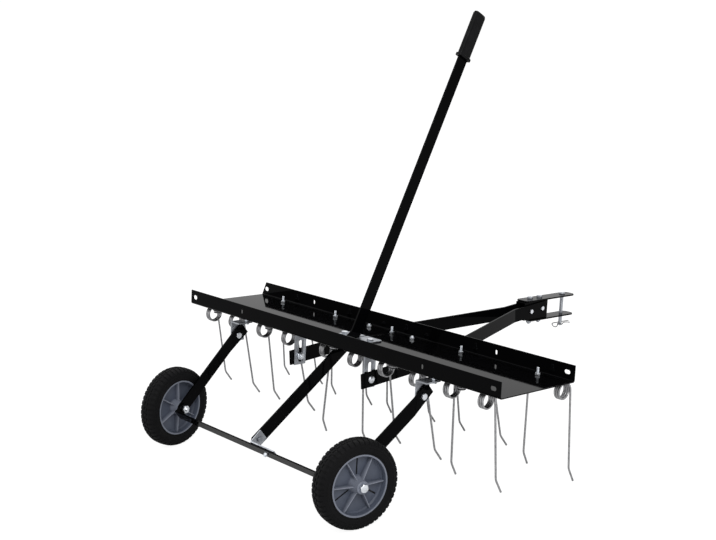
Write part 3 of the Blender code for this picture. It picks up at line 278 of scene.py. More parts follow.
def block(x, y, z):
    """A box between two values along each axis."""
    bpy.ops.mesh.primitive_cube_add(size=1)
    piece = bpy.context.object
    low, high = Vector((x[0], y[0], z[0])), Vector((x[1], y[1], z[1]))
    piece.location = (low + high) / 2
    piece.scale = high - low
    bpy.ops.object.transform_apply(location=True, rotation=True, scale=True)
    return piece


def rod(axis, centre, radius, low, high, sides):
    """A cylinder along an axis, with its centre given across that axis."""
    a, b = centre
    mid = (low + high) / 2
    place = {"X": (mid, a, b), "Y": (a, mid, b), "Z": (a, b, mid)}[axis]
    turn = {"X": (0, pi / 2, 0), "Y": (pi / 2, 0, 0), "Z": (0, 0, 0)}[axis]
    bpy.ops.mesh.primitive_cylinder_add(vertices=sides, radius=radius, depth=high - low,
                                        location=place, rotation=turn)
    bpy.ops.object.transform_apply(location=True, rotation=True, scale=True)
    return bpy.context.object


def turned(outline, steps=32, closed=False):
    """A body turned round Z from (radius, height) corners, which start and end on the axis or,
    when closed, run right round."""
    bpy.ops.mesh.primitive_circle_add(vertices=len(outline), fill_type="NOTHING")
    piece = bpy.context.object
    for vert, (radius, height) in zip(piece.data.vertices, outline):
        vert.co = (radius, 0, height)
    with bench(piece, "EDGE"):
        if not closed:
            last = len(outline) - 1
            pick("edges", lambda edge: {v.index for v in edge.verts} == {0, last})
            bpy.ops.mesh.delete(type="EDGE")
        bpy.ops.mesh.select_all(action="SELECT")
        bpy.ops.mesh.spin(steps=steps, angle=2 * pi, center=(0, 0, 0), axis=(0, 0, 1))
        bpy.ops.mesh.select_all(action="SELECT")
        bpy.ops.mesh.remove_doubles(threshold=1e-6)
        bpy.ops.mesh.normals_make_consistent(inside=False)
    return piece


def wire(points, thick):
    """A round wire of ten sides along points, with closed ends."""
    line = bpy.data.curves.new("wire", "CURVE")
    line.dimensions = "3D"
    line.bevel_depth = thick / 2
    line.bevel_resolution = 3
    line.use_fill_caps = True
    spline = line.splines.new("POLY")
    spline.points.add(len(points) - 1)
    for spot, point in zip(spline.points, points):
        spot.co = (*point, 1)
    piece = bpy.data.objects.new("wire", line)
    bpy.context.scene.collection.objects.link(piece)
    take(piece)
    bpy.ops.object.convert(target="MESH")
    piece = bpy.context.object
    with bench(piece):
        bpy.ops.mesh.select_all(action="SELECT")
        bpy.ops.mesh.remove_doubles(threshold=1e-6)
        bpy.ops.mesh.normals_make_consistent(inside=False)
    bpy.ops.object.shade_smooth_by_angle(angle=radians(50))
    return piece


def copy(piece, matrix):
    """A copy with a mesh of its own, moved by a matrix."""
    twin = bpy.data.objects.new(piece.name, piece.data.copy())
    bpy.context.scene.collection.objects.link(twin)
    twin.data.transform(matrix)
    return twin


def join(pieces):
    bpy.ops.object.select_all(action="DESELECT")
    for piece in pieces:
        piece.select_set(True)
    bpy.context.view_layer.objects.active = pieces[0]
    bpy.ops.object.join()
    return bpy.context.object


def fit(piece, name, finish, body, nodes, place=TRAY):
    """Names and paints a finished piece, stands it with the machine and hangs it on its body."""
    piece.name = piece.data.name = name
    piece.data.transform(place)
    piece.data.materials.clear()
    piece.data.materials.append(finish)
    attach(piece, body)
    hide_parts(*nodes)
    return piece


def dressed(node, name, finish, body, edge=EDGE):
    """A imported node's shape with whole faces and broken edges."""
    source = frame["nodes"][node]
    piece = bpy.data.objects.new(name, source.data.copy())
    bpy.context.scene.collection.objects.link(piece)
    with bench(piece):
        bpy.ops.mesh.select_all(action="SELECT")
        bpy.ops.mesh.remove_doubles(threshold=1e-5)
        bpy.ops.mesh.dissolve_limited(angle_limit=radians(1))
    soften(piece, edge, angle=40)
    return fit(piece, name, finish, body, [node], Matrix.Identity(4))


# Finishes

class Socket:
    """A node's output that can be used in written maths."""

    def __init__(self, finish, out):
        self.finish = finish
        self.out = out

    def maths(self, operation, a, b):
        return self.finish.node("ShaderNodeMath", {"operation": operation}, {0: a, 1: b})

    def __add__(self, other):
        return self.maths("ADD", self, other)

    def __sub__(self, other):
        return self.maths("SUBTRACT", self, other)

    def __rsub__(self, other):
        return self.maths("SUBTRACT", other, self)

    def __mul__(self, other):
        return self.maths("MULTIPLY", self, other)

    __radd__ = __add__
    __rmul__ = __mul__


class Finish:
    """A Principled material built up in code."""

    def __init__(self, name, metallic=0.0, **fixed):
        self.material = bpy.data.materials.new(name)
        self.material.use_nodes = True
        self.tree = self.material.node_tree
        self.shader = self.tree.nodes["Principled BSDF"]
        self.put(Metallic=metallic, **fixed)
        self.place = self.node("ShaderNodeTexCoord", output="Object")

    def node(self, kind, settings=None, inputs=None, output=0):
        """One node: its settings first, then the values or links of its sockets."""
        made = self.tree.nodes.new(kind)
        for setting, value in (settings or {}).items():
            setattr(made, setting, value)
        for socket, value in (inputs or {}).items():
            self.feed(made.inputs[socket], value)
        return Socket(self, made.outputs[output])

    def feed(self, socket, value):
        if isinstance(value, Socket):
            self.tree.links.new(value.out, socket)
        elif isinstance(value, (tuple, list)) and len(value) == 3 and socket.type == "RGBA":
            socket.default_value = (*value, 1)
        else:
            socket.default_value = value

    def put(self, **values):
        for name, value in values.items():
            self.feed(self.shader.inputs[name.replace("_", " ")], value)

    def marked(self, name):
        """The level that tell wrote at the corners under a name."""
        return self.node("ShaderNodeAttribute", {"attribute_name": name}, output=2)

    def noise(self, scale, detail):
        return self.node("ShaderNodeTexNoise", None,
                         {"Vector": self.place, "Scale": scale, "Detail": detail})

    def band(self, value, low, high):
        """Zero below low, one above high."""
        return self.node("ShaderNodeMapRange", {"clamp": True},
                         {"Value": value, "From Min": low, "From Max": high})

    def blend(self, amount, first, second):
        return self.node("ShaderNodeMix", {"data_type": "RGBA"},
                         {0: amount, 6: first, 7: second}, 2)

    def bump(self, height, distance, strength):
        self.put(Normal=self.node("ShaderNodeBump", None, {"Height": height, "Distance": distance,
                                                          "Strength": strength}))


def powder_coat():
    """Gloss black powder coat: faint orange peel, dust in patches."""
    coat = Finish("black_powder_coat", Specular_IOR_Level=0.035)
    patches = coat.noise(14, 4)
    peel = coat.noise(650, 2)
    specks = coat.band(coat.noise(2400, 1), 0.68, 0.80)
    coat.put(Base_Color=coat.blend(patches * 0.6 + specks * 0.4, (0.0008, 0.0008, 0.0010),
                                   (0.0024, 0.0024, 0.0029)))
    coat.put(Roughness=patches * 0.03 + specks * 0.06 + 0.035)
    coat.bump(peel, 0.00002, 0.15)
    return coat.material


def zinc_plate():
    """Zinc plating: clouds and fine marks on the sheet, brighter on bolts, and painted shade (near
    black) on bolt parts under the tray.
    """
    zinc = Finish("zinc_plate", metallic=1.0)
    clouds = zinc.noise(120, 4)
    marks = zinc.band(zinc.noise(1500, 2), 0.45, 0.75)
    bloom = zinc.band(zinc.noise(60, 5), 0.42, 0.72)
    bright = zinc.marked("bright")
    sheet = zinc.blend(bloom * 0.7 + marks * 0.3, (0.42, 0.44, 0.47), (0.25, 0.26, 0.29))
    bolts = zinc.blend(marks * 0.4, (0.80, 0.83, 0.87), (0.62, 0.64, 0.68))
    # Painted shade: corners marked as lying under the tray go near black.
    oiled = zinc.marked("oiled")
    zinc.put(Base_Color=zinc.blend(oiled, zinc.blend(bright, sheet, bolts), (0.03, 0.03, 0.032)))
    zinc.put(Roughness=clouds * 0.15 + bloom * 0.15 + 0.22)
    zinc.bump(marks, 0.00002, 0.2)
    return zinc.material


def spring_wire(name="spring_steel", level=0.40):
    """Spring wire: grey with drawn streaks and darker scale."""
    steel = Finish(name, metallic=1.0)
    scale = steel.band(steel.noise(220, 4), 0.42, 0.70)
    streaks = steel.noise(1800, 2)
    steel.put(Base_Color=steel.blend(scale * 0.8 + streaks * 0.2, (level, level, level * 1.02),
                                     (level * 0.5, level * 0.5, level * 0.52)))
    steel.put(Roughness=streaks * 0.18 + scale * 0.12 + 0.24)
    steel.bump(streaks, 0.00003, 0.4)
    return steel.material


def tyre_rubber():
    """Moulded tyre: fine grain and a grey bloom on the flanks."""
    rubber = Finish("tyre_rubber", Specular_IOR_Level=0.12)
    grain = rubber.noise(1400, 3)
    bloom = rubber.band(rubber.noise(35, 4), 0.40, 0.75)
    rubber.put(Base_Color=rubber.blend(bloom * 0.7 + grain * 0.3, (0.0012, 0.0012, 0.0016),
                                       (0.0036, 0.0036, 0.0042)))
    rubber.put(Roughness=grain * 0.2 + bloom * 0.1 + 0.52)
    rubber.bump(grain, 0.0001, 0.5)
    return rubber.material


def rim_plastic():
    """Blue-grey moulded plastic, with a painted highlight on lip, hub and rib tops and painted
    shade inside the slits.
    """
    plastic = Finish("rim_plastic", Specular_IOR_Level=0.4)
    grain = plastic.noise(1700, 2)
    flow = plastic.noise(28, 3)
    rubbed = plastic.marked("rubbed")
    hidden = plastic.marked("hidden")
    colour = plastic.blend(flow * 0.7 + grain * 0.3, (0.062, 0.073, 0.102), (0.098, 0.113, 0.152))
    # Painted highlight: lip, hub cone and rib tops go lighter.
    colour = plastic.blend(rubbed * 0.9, colour, (0.30, 0.32, 0.38))
    # Painted shade: the slit floors go near black.
    plastic.put(Base_Color=plastic.blend(hidden, colour, (0.002, 0.002, 0.0025)))
    plastic.put(Roughness=grain * 0.15 + flow * 0.1 + 0.36)
    plastic.bump(grain, 0.00006, 0.4)
    return plastic.material


def grip_plastic():
    """Soft black grip: pebbled skin, shinier where the hand rubs."""
    plastic = Finish("grip_plastic", Specular_IOR_Level=0.10)
    pebbles = plastic.node("ShaderNodeTexVoronoi", None, {"Vector": plastic.place, "Scale": 700.0})
    rubbed = plastic.band(plastic.noise(40, 3), 0.40, 0.65)
    plastic.put(Base_Color=plastic.blend(rubbed, (0.0014, 0.0014, 0.0017),
                                         (0.0036, 0.0036, 0.0042)))
    plastic.put(Roughness=0.46 - rubbed * 0.12 + pebbles * 0.1)
    plastic.bump(pebbles, 0.00012, 0.5)
    return plastic.material


BLACK = powder_coat()
ZINC = zinc_plate()
SPRING = spring_wire()
CLIP_STEEL = spring_wire("clip_wire", 0.18)
RUBBER = tyre_rubber()
RIM = rim_plastic()
GRIP = grip_plastic()


# Fasteners

def tell(piece, name, level):
    """Writes a level for each corner of a piece, which its finish reads."""
    layer = piece.data.attributes.get(name) or piece.data.attributes.new(name, "FLOAT", "POINT")
    for vert, value in zip(piece.data.vertices, layer.data):
        value.value = level(vert.co)
    return piece


def fastened(pieces, level=1.0):
    """Joins the parts of a bolt and marks how bright they are."""
    return tell(join(pieces), "bright", lambda co: level)


def dull(piece):
    """Takes the brightness off a bolt again."""
    return tell(piece, "bright", lambda co: 0.0)


def hexagon(across, height, both):
    """A hexagon block on z zero, its corners turned off above and, on a nut, below."""
    corner = across / sqrt(3)
    bpy.ops.mesh.primitive_cylinder_add(vertices=6, radius=corner, depth=height,
                                        location=(0, 0, height / 2))
    piece = bpy.context.object
    bpy.ops.object.transform_apply(location=True, rotation=True, scale=True)
    flat = across / 2 * 0.94
    drop = (corner - flat) * tan(radians(30))
    foot = ((0, 0), (flat, 0), (corner, drop)) if both else ((0, 0), (corner, 0))
    cut(piece, turned([*foot, (corner, height - drop), (flat, height), (0, height)], 48),
        "INTERSECT")
    soften(piece, 0.0002, 1)
    return piece


def threaded(radius, low, high):
    """A threaded rod from low to high with a chamfered end."""
    pitch, depth = radius * 0.31, radius * 0.14
    turns = int((high - low) / pitch)
    outline = [(0, low), (radius - depth, low)]
    for i in range(turns):
        at = low + i * pitch
        outline += [(radius, at + pitch * 0.35), (radius, at + pitch * 0.5),
                    (radius - depth, at + pitch * 0.95)]
    outline += [(radius - depth, high - depth), (radius - 2 * depth, high), (0, high)]
    piece = turned(outline, 16)
    take(piece)
    bpy.ops.object.shade_smooth_by_angle(angle=radians(25))
    return piece


def washer(radius, bore, low, high):
    piece = turned([(bore, low), (radius, low), (radius, high), (bore, high)], 32, closed=True)
    soften(piece, 0.0002, 1)
    return piece


def dome(radius, height):
    """A low round head on z zero."""
    brim = height * 0.25
    rise = [(radius * cos(t), brim + (height - brim) * sin(t))
            for t in (i * pi / 16 for i in range(8))]
    piece = turned([(0, 0), (radius, 0), *rise, (0, height)], 32)
    take(piece)
    bpy.ops.object.shade_smooth_by_angle(angle=radians(30))
    return piece


SIZES = (M10, M8, M6)
HEADS = {size: hexagon(size[1], size[2], False) for size in SIZES}
NUTS = {size: hexagon(size[1], size[3], True) for size in SIZES}
FLIP = Matrix.Rotation(pi, 4, "X")


def bolt(size, low, high, turn=0.0, round_head=0.0):
    """Bolt along Z: head under low, nut over high, and the thread standing out above it.

    A bolt with a round head of that radius has a washer of the same size pressed on its nut.
    """
    radius = size[0] / 2
    spin = Matrix.Rotation(turn, 4, "Z")
    foot = Matrix.Translation((0, 0, low)) @ FLIP @ spin
    nut = copy(NUTS[size], Matrix.Translation((0, 0, high)) @ spin)
    shank = turned([(0, low), (radius, low), (radius, high), (0, high)], 16)
    thread = threaded(radius, high, high + size[3] + THREAD_END)
    if not round_head:
        return fastened([copy(HEADS[size], foot), nut, shank, thread])
    head = dome(round_head, size[2])
    head.data.transform(foot)
    pressed = washer(round_head, radius, high, high + PRESSED_WASHER)
    return fastened([head, nut, shank, thread, pressed])


def along(axis, centre, flip=False):
    """Places a body made along Z on an axis, turned end for end when flipped."""
    a, b = centre
    turn = {"X": Matrix.Rotation(pi / 2, 4, "Y"), "Y": Matrix.Rotation(-pi / 2, 4, "X"),
            "Z": Matrix.Identity(4)}[axis]
    spot = {"X": (0, a, b), "Y": (a, 0, b), "Z": (a, b, 0)}[axis]
    return Matrix.Translation(spot) @ turn @ (FLIP if flip else Matrix.Identity(4))


def set_bolt(size, axis, centre, seats, flip=False, turn=0.0, round_head=0.0):
    """A bolt that clamps what lies between two seats on an axis."""
    low, high = seats[0] - GAP, seats[1] + GAP
    if flip:
        low, high = -high, -low
    piece = bolt(size, low, high, turn=turn, round_head=round_head)
    piece.data.transform(along(axis, centre, flip))
    return piece


# Tray

def slot_tool(x, width, height, y0, y1):
    """A cutter for a slot with round ends through a flange, longer along X or along Z."""
    r = min(width, height) / 2
    tool = block((x - width / 2, x + width / 2), (y0, y1),
                 (HOLE_HEIGHT - height / 2, HOLE_HEIGHT + height / 2))
    with bench(tool, "EDGE"):
        pick("edges", lambda edge: abs(edge.verts[0].co.y - edge.verts[1].co.y) > (y1 - y0) / 2)
        bpy.ops.mesh.bevel(offset=r * 0.98, segments=6, affect="EDGES")
    return tool


def make_tray():
    """One sheet folded up at front and back, its ends open."""
    half = TRAY_LENGTH / 2
    tray = block((-half, half), (0, TRAY_DEPTH), (0, TRAY_HEIGHT))
    with bench(tray, "FACE"):
        pick("faces", lambda face: abs(face.normal.x) > 0.9 or face.normal.z > 0.9)
        bpy.ops.mesh.delete(type="FACE")
        bpy.ops.mesh.select_mode(type="EDGE")
        pick("edges", lambda edge: middle(edge).z < 1e-4 and abs(middle(edge).x) < 1e-4)
        bpy.ops.mesh.bevel(offset=TRAY_BEND, segments=6, affect="EDGES")
        bpy.ops.mesh.select_mode(type="VERT")
        pick("verts", lambda v: v.co.x < 0 and v.co.y > TRAY_DEPTH - 1e-4
             and v.co.z > TRAY_HEIGHT - 1e-4)
        bpy.ops.transform.translate(value=(FRONT_SLANT, 0, 0))
    apply(tray, "SOLIDIFY", thickness=TRAY_SHEET, offset=-1, use_even_offset=True)
    for y0, y1 in ((-0.01, 0.01), (TRAY_DEPTH - 0.01, TRAY_DEPTH + 0.01)):
        for x, width, height in END_SLOTS + SMALL_SLOTS:
            cut(tray, slot_tool(x, width, height, y0, y1))
    cut(tray, block((-LEVER_SLOT_HALF, LEVER_SLOT_HALF), LEVER_SLOT, (-0.01, 0.01)))
    soften(tray, 0.0006, 2, 50)
    fit(tray, "tray", BLACK, "tray", ["deck"])


def make_guide():
    """Forked plate that keeps the lever in line, held by two bolts."""
    low = TRAY_SHEET + GAP
    guide = block((-GUIDE_HALF, GUIDE_HALF), GUIDE_ENDS, (low, low + GUIDE_SHEET))
    cut(guide, block((-LEVER_SLOT_HALF, LEVER_SLOT_HALF), (LEVER_SLOT[0], 0.2), (0, 0.02)))
    with bench(guide, "EDGE"):
        pick("edges", lambda e: abs(e.verts[0].co.z - e.verts[1].co.z) > 0.002
             and abs(e.verts[0].co.x) > GUIDE_HALF - 0.003)
        bpy.ops.mesh.bevel(offset=0.005, segments=5, affect="EDGES")
    soften(guide)
    x, y = GUIDE_BOLT
    bolts = [set_bolt(M8, "Z", (side * x, y), (0, low + GUIDE_SHEET - GAP), flip=True)
             for side in (-1, 1)]
    fit(join([guide, *bolts]), "guide_plate", ZINC, "tray", ["lever_guide"])


# Tines

def fillet(corner, before, after, radius, steps):
    """Points of a round corner between two straight runs."""
    corner, before, after = Vector(corner), Vector(before), Vector(after)
    into, out = (corner - before).normalized(), (after - corner).normalized()
    bend = into.angle(out)
    start = corner - into * radius * tan(bend / 2)
    side = (out - into * into.dot(out)).normalized()
    centre = start + side * radius
    return [centre - side * radius * cos(bend * i / steps) + into * radius * sin(bend * i / steps)
            for i in range(steps + 1)]


def half_tine(lean, side):
    """Wire from a point up its arm, round the coil and along the yoke to the bolt's eye."""
    coil_z = YOKE_Z - COIL_RADIUS
    run_y = COIL_FORWARD - WIRE - YOKE_FILLET

    def on_coil(x, turn):
        return Vector((x, COIL_FORWARD + COIL_RADIUS * cos(turn), coil_z + COIL_RADIUS * sin(turn)))

    start = on_coil(COIL_SPREAD, lean)
    splay = (TIP_SPREAD - COIL_SPREAD) / (ARM_LENGTH + POINT_LENGTH)
    low = lean + POINT_BEND
    elbow = start + ARM_LENGTH * Vector((splay, sin(lean), -cos(lean)))
    tip = elbow + POINT_LENGTH * Vector((splay, sin(low), -cos(low)))
    points = [tip, *fillet(elbow, tip, start, ELBOW_RADIUS, 6)]
    sweep = COIL_TURNS * 2 * pi + pi / 2 - lean
    steps = ceil(sweep / (2 * pi) * COIL_POINTS)
    points += [on_coil(COIL_SPREAD - COIL_PITCH * sweep / (2 * pi) * i / steps,
                       lean + sweep * i / steps) for i in range(steps + 1)]
    coil_end = points[-1]
    corner = Vector((coil_end.x, run_y, YOKE_Z))
    eye_corner = Vector((EYE_RADIUS, run_y, YOKE_Z))
    points += fillet(corner, coil_end, eye_corner, YOKE_FILLET, 5)
    points += fillet(eye_corner, corner, (EYE_RADIUS, 0, YOKE_Z), EYE_FILLET, 5)
    points += [Vector((EYE_RADIUS * cos(t), -EYE_RADIUS * sin(t), YOKE_Z))
               for t in (i * pi / 12 for i in range(6))]
    return [Vector((side * p.x, p.y, p.z)) for p in points]


def tine_bolt():
    """Round-headed bolt that clamps the wire to a disc under the tray, its nut on top."""
    radius = M6[0] / 2
    clamp = YOKE_Z - WIRE / 2 - GAP
    top = TRAY_SHEET + GAP
    head = dome(*TINE_HEAD)
    head.data.transform(Matrix.Translation((0, 0, clamp)) @ FLIP)
    upper = washer(CLAMP_RADIUS, radius, -GAP - CLAMP_SHEET, -GAP)
    shank = turned([(0, clamp), (radius, clamp), (radius, top), (0, top)], 16)
    nut = copy(NUTS[M6], Matrix.Translation((0, 0, top)) @ Matrix.Rotation(0.35, 4, "Z"))
    thread = threaded(radius, top, TINE_THREAD)
    # Painted shade: every corner below the tray's underside is marked to render near black.
    return tell(fastened([head, upper, shank, nut, thread], 0.7), "oiled",
                lambda co: 1.0 if co.z < 0 else 0.0)


def make_tines():
    """Ten double tines, each clamped under the tray by its bolt."""
    master = tine_bolt()
    for row, (y, tines) in TINE_ROWS.items():
        for number, (x, left_lean, right_lean) in enumerate(tines, 1):
            right, left = half_tine(radians(right_lean), 1), half_tine(radians(left_lean), -1)
            points = right + [Vector((0, -EYE_RADIUS, YOKE_Z))] + left[::-1]
            spot = TRAY @ Matrix.Translation((x, y, 0))
            fit(wire(points, WIRE), f"spring_tine_{row}_{number}", SPRING, "tray",
                [f"tine_{row}_{number}"], spot)
            turned_bolt = copy(master, Matrix.Rotation(number * 1.3 + y * 20, 4, "Z"))
            fit(turned_bolt, f"tine_clamp_{row}_{number}", ZINC, "tray",
                [f"tine_bolt_{row}_{number}"], spot)
    bpy.data.objects.remove(master)


# Lift frame

# At the wheel bolts, with Z up along the arms
ARM_FRAME = (Matrix.Translation((0, WHEEL_Y, WHEEL_Z))
             @ Matrix.Rotation(atan2(WHEEL_Y - PIVOT_Y, PIVOT_Z - WHEEL_Z), 4, "X"))


def make_arms():
    """Arms, their brackets under the tray, and the bolts they hang on."""
    for side in ("left", "right"):
        dressed(f"arm_{side}", f"lift_arm_{side}", BLACK, "lift_frame", BAR_EDGE)
        angle = dressed(f"arm_bracket_{side}", f"arm_angle_{side}", ZINC, "tray")
        leg_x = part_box(f"arm_bracket_{side}")[0].x
        beyond = block((leg_x + ARM_ANGLE_LENGTH, leg_x + 0.06), (-0.03, 0.03), (-0.03, 0.03))
        beyond.data.transform(TRAY)
        cut(angle, beyond)
        arm_side = leg_x + BRACKET_SHEET + GAP + ARM_SHEET
        pivot = set_bolt(M8, "X", (PIVOT_Y, PIVOT_Z), (leg_x, arm_side), flip=True, turn=0.3)
        fit(pivot, f"arm_pivot_{side}", ZINC, "tray", [f"arm_pivot_bolt_{side}"])
        under = -ARM_ANGLE_SPACER - BRACKET_SHEET
        top = TRAY_SHEET + GAP
        stud = bolt(M6, under - GAP, top)
        flatter = (ARM_ANGLE_SPACER - 2 * GAP) / M6[3]
        spacer = copy(NUTS[M6], Matrix.Translation((0, 0, -ARM_ANGLE_SPACER + GAP))
                      @ Matrix.Diagonal((1, 1, flatter, 1)))
        stud = fastened([stud, spacer])
        fit(stud, f"arm_angle_bolt_{side}", ZINC, "tray", [f"arm_bracket_bolt_{side}"],
            TRAY @ Matrix.Translation((leg_x + ARM_ANGLE_BOLT[0], ARM_ANGLE_BOLT[1], 0)))
    dressed("axle_bar", "axle_strip", BLACK, "lift_frame")


def make_lever():
    """Lever, its foot angle with two bolts, and the grip."""
    dressed("lift_lever", "lever", BLACK, "lift_frame", BAR_EDGE)
    face = LEVER_SHEET / 2 + GAP
    seat = TRAY @ ARM_FRAME @ Matrix.Translation((0, 0, GAP - AXLE_BEYOND))
    centre = FOOT_BACK + FOOT_WIDTH / 2
    angle = block((face, face + FOOT_PLATE), (FOOT_BACK, FOOT_BACK + FOOT_WIDTH), (0, FOOT_RISE))
    with bench(angle, "FACE"):
        pick("faces", lambda f: abs(f.normal.y) > 0.9 or f.normal.x > 0.9 or f.normal.z > 0.9)
        bpy.ops.mesh.delete(type="FACE")
        bpy.ops.mesh.select_mode(type="EDGE")
        pick("edges", lambda e: middle(e).x < face + 1e-4 and middle(e).z < 1e-4)
        bpy.ops.mesh.bevel(offset=ANGLE_BEND, segments=5, affect="EDGES")
    apply(angle, "SOLIDIFY", thickness=BRACKET_SHEET, offset=-1, use_even_offset=True)
    soften(angle, angle=50)
    stud = set_bolt(M6, "Z", (FOOT_BOLT[0], centre), (-GAP - AXLE_SHEET, BRACKET_SHEET - GAP),
                    flip=True)
    fit(join([angle, stud]), "lever_foot", ZINC, "lift_frame", ["lever_foot_bracket"], seat)
    foot_bolt = set_bolt(M6, "X", (centre, FOOT_BOLT[1] - GAP),
                         (-LEVER_SHEET / 2, face + BRACKET_SHEET), flip=True, turn=0.2)
    fit(dull(foot_bolt), "lever_foot_screw", ZINC, "lift_frame", ["lever_foot_bolt"], seat)
    make_grip()


def make_grip():
    """Grip pushed over the lever: collar, finger ridges and a domed end."""
    thin, wide = GRIP_HALF
    grip = block((-thin, thin), (-wide, wide), (0.007, GRIP_LENGTH))
    with bench(grip, "FACE"):
        pick("faces", lambda f: f.normal.z < -0.9)
        bpy.ops.mesh.extrude_region_move(TRANSFORM_OT_translate={"value": (0, 0, -0.0015)})
        bpy.ops.transform.resize(value=(1.3, 1.14, 1))
        bpy.ops.mesh.extrude_region_move(TRANSFORM_OT_translate={"value": (0, 0, -0.0055)})
        pick("faces", lambda f: f.normal.z > 0.9)
        bpy.ops.transform.translate(value=(0, 0, -0.006))
        bpy.ops.mesh.extrude_region_move(TRANSFORM_OT_translate={"value": (0, 0, 0.0045)})
        bpy.ops.transform.resize(value=(0.86, 0.90, 1))
        bpy.ops.mesh.extrude_region_move(TRANSFORM_OT_translate={"value": (0, 0, 0.0015)})
        bpy.ops.transform.resize(value=(0.60, 0.72, 1))
        bpy.ops.mesh.select_mode(type="EDGE")
        pick("edges", lambda e: abs(e.verts[0].co.z - e.verts[1].co.z) > 0.0008)
        bpy.ops.mesh.bevel(offset=0.0055, segments=5, affect="EDGES")
    for z in GRIP_GROOVES:
        for side in (-1, 1):
            groove = rod("Z", (0, 0), 0.0006, -0.009, 0.009, 10)
            groove.data.transform(Matrix.Translation((0, side * (wide + 0.0002), z))
                                  @ Matrix.Rotation(pi / 2, 4, "Y"))
            cut(grip, groove)
    cut(grip, block((-0.0023, 0.0023), (-0.0153, 0.0153), (-0.01, 0.1063)))
    soften(grip, 0.0006, 3, 40)
    start_y = LEVER_BEND[0] + LEVER_HAND * cos(LEVER_LEAN)
    start_z = LEVER_BEND[1] + LEVER_HAND * sin(LEVER_LEAN)
    place = Matrix.Translation((0, start_y, start_z)) @ Matrix.Rotation(LEVER_LEAN - pi / 2, 4, "X")
    fit(grip, "hand_grip", GRIP, "lift_frame", ["grip"], TRAY @ place)


# Wheels

def wheel_place(name):
    """Matrix from a wheel made round Z, outer side up, to its place on the machine."""
    joint = joints[f"wheel_{name}_spin"]
    out = Vector(joint["axis"]) * (1 if joint["pos_m"][0] > 0 else -1)
    up = TRAY.to_3x3() @ Vector((0, 0, 1))
    across = out.cross(up).normalized()
    turn = Matrix((out.cross(across), across, out)).transposed().to_4x4()
    return Matrix.Translation(joint["pos_m"]) @ turn


def lug(outline, half):
    """A tread block: its side view in (radius, height) pushed out both ways and softened."""
    bpy.ops.mesh.primitive_circle_add(vertices=len(outline), fill_type="NGON")
    piece = bpy.context.object
    for vert, (radius, height) in zip(piece.data.vertices, outline):
        vert.co = (radius, -half, height)
    with bench(piece, "FACE"):
        bpy.ops.mesh.select_all(action="SELECT")
        bpy.ops.mesh.extrude_region_move(TRANSFORM_OT_translate={"value": (0, 2 * half, 0)})
        bpy.ops.mesh.select_all(action="SELECT")
        bpy.ops.mesh.normals_make_consistent(inside=False)
    apply(piece, "BEVEL", width=0.0005, segments=1, limit_method="ANGLE", angle_limit=radians(50))
    return piece


def ring_of(master, count, start=0.0):
    """Copies of a block set round Z."""
    made = [copy(master, Matrix.Rotation(start + 2 * pi * i / count, 4, "Z"))
            for i in range(count)]
    bpy.data.objects.remove(master)
    return made


def make_tyre(name):
    """Carcass with beaded flanks, side lugs staggered left and right, and a broken centre row."""
    r, h = TYRE_RADIUS, TYRE_HALF
    flank = [(r - 0.0016, 0), (r - 0.0019, h * 0.45), (r - 0.0045, h * 0.78),
             (r - 0.0085, h * 0.925), (r - 0.0140, h * 0.985), (r - 0.0150, h * 0.96),
             (r - 0.0160, h * 0.985), (r - 0.0205, h * 0.97), (RIM_RADIUS + 0.0045, h * 0.93),
             (RIM_RADIUS + 0.0035, h * 0.90), (RIM_RADIUS + 0.0022, h * 0.94),
             (RIM_RADIUS + GAP, h * 0.89)]
    flank += [(radius, -height) for radius, height in flank[:0:-1]]
    carcass = turned(flank, 96, closed=True)
    side = [(r - 0.003, h * 0.22), (r - 0.0002, h * 0.24), (r - 0.0006, h * 0.50),
            (r - 0.0028, h * 0.78), (r - 0.0066, h * 0.93), (r - 0.0082, h * 0.96),
            (r - 0.0090, h * 0.88), (r - 0.0060, h * 0.70)]
    mirrored = [(radius, -height) for radius, height in side]
    blocks = ring_of(lug(side, LUG_HALF[0]), LUGS)
    blocks += ring_of(lug(mirrored, LUG_HALF[0]), LUGS, pi / LUGS)
    centre = [(r - 0.003, -h * 0.15), (r, -h * 0.13), (r, h * 0.13), (r - 0.003, h * 0.15)]
    blocks += ring_of(lug(centre, LUG_HALF[1]), LUGS, pi / LUGS / 2)
    tyre = join([carcass, *blocks])
    take(tyre)
    bpy.ops.object.shade_smooth_by_angle(angle=radians(30))
    fit(tyre, f"tread_tyre_{name}", RUBBER, f"wheel_{name}", [f"tyre_{name}"],
        wheel_place(name))


def make_rib(face, hub_height, wall_height):
    """A straight radial rib from the hub to the rim's wall on one face of the web."""
    inner, outer = HUB_RADIUS - 0.002, WALL_RADIUS - 0.001
    rib = block((inner, outer), (-RIB_HALF, RIB_HALF), (0, 1))
    with bench(rib, "EDGE"):
        pick("edges", lambda e: abs(e.verts[0].co.x - e.verts[1].co.x) > 0.01)
        bpy.ops.mesh.subdivide(number_cuts=8)
    for vert in rib.data.vertices:
        along_rib = min(1, max(0, (vert.co.x - inner) / (outer - inner)))
        top = hub_height + (wall_height - hub_height) * along_rib ** 0.8
        vert.co.y *= 1.3 if vert.co.z < 0.5 else 0.8
        vert.co.z = face * (0.002 if vert.co.z < 0.5 else top)
    with bench(rib):
        bpy.ops.mesh.select_all(action="SELECT")
        bpy.ops.mesh.normals_make_consistent(inside=False)
    apply(rib, "BEVEL", width=0.0004, segments=2, limit_method="ANGLE", angle_limit=radians(50))
    # Painted highlight along the rib tops.
    tell(rib, "rubbed", lambda co: 0.8 if abs(co.z) > wall_height - 0.001 else 0.0)
    return rib


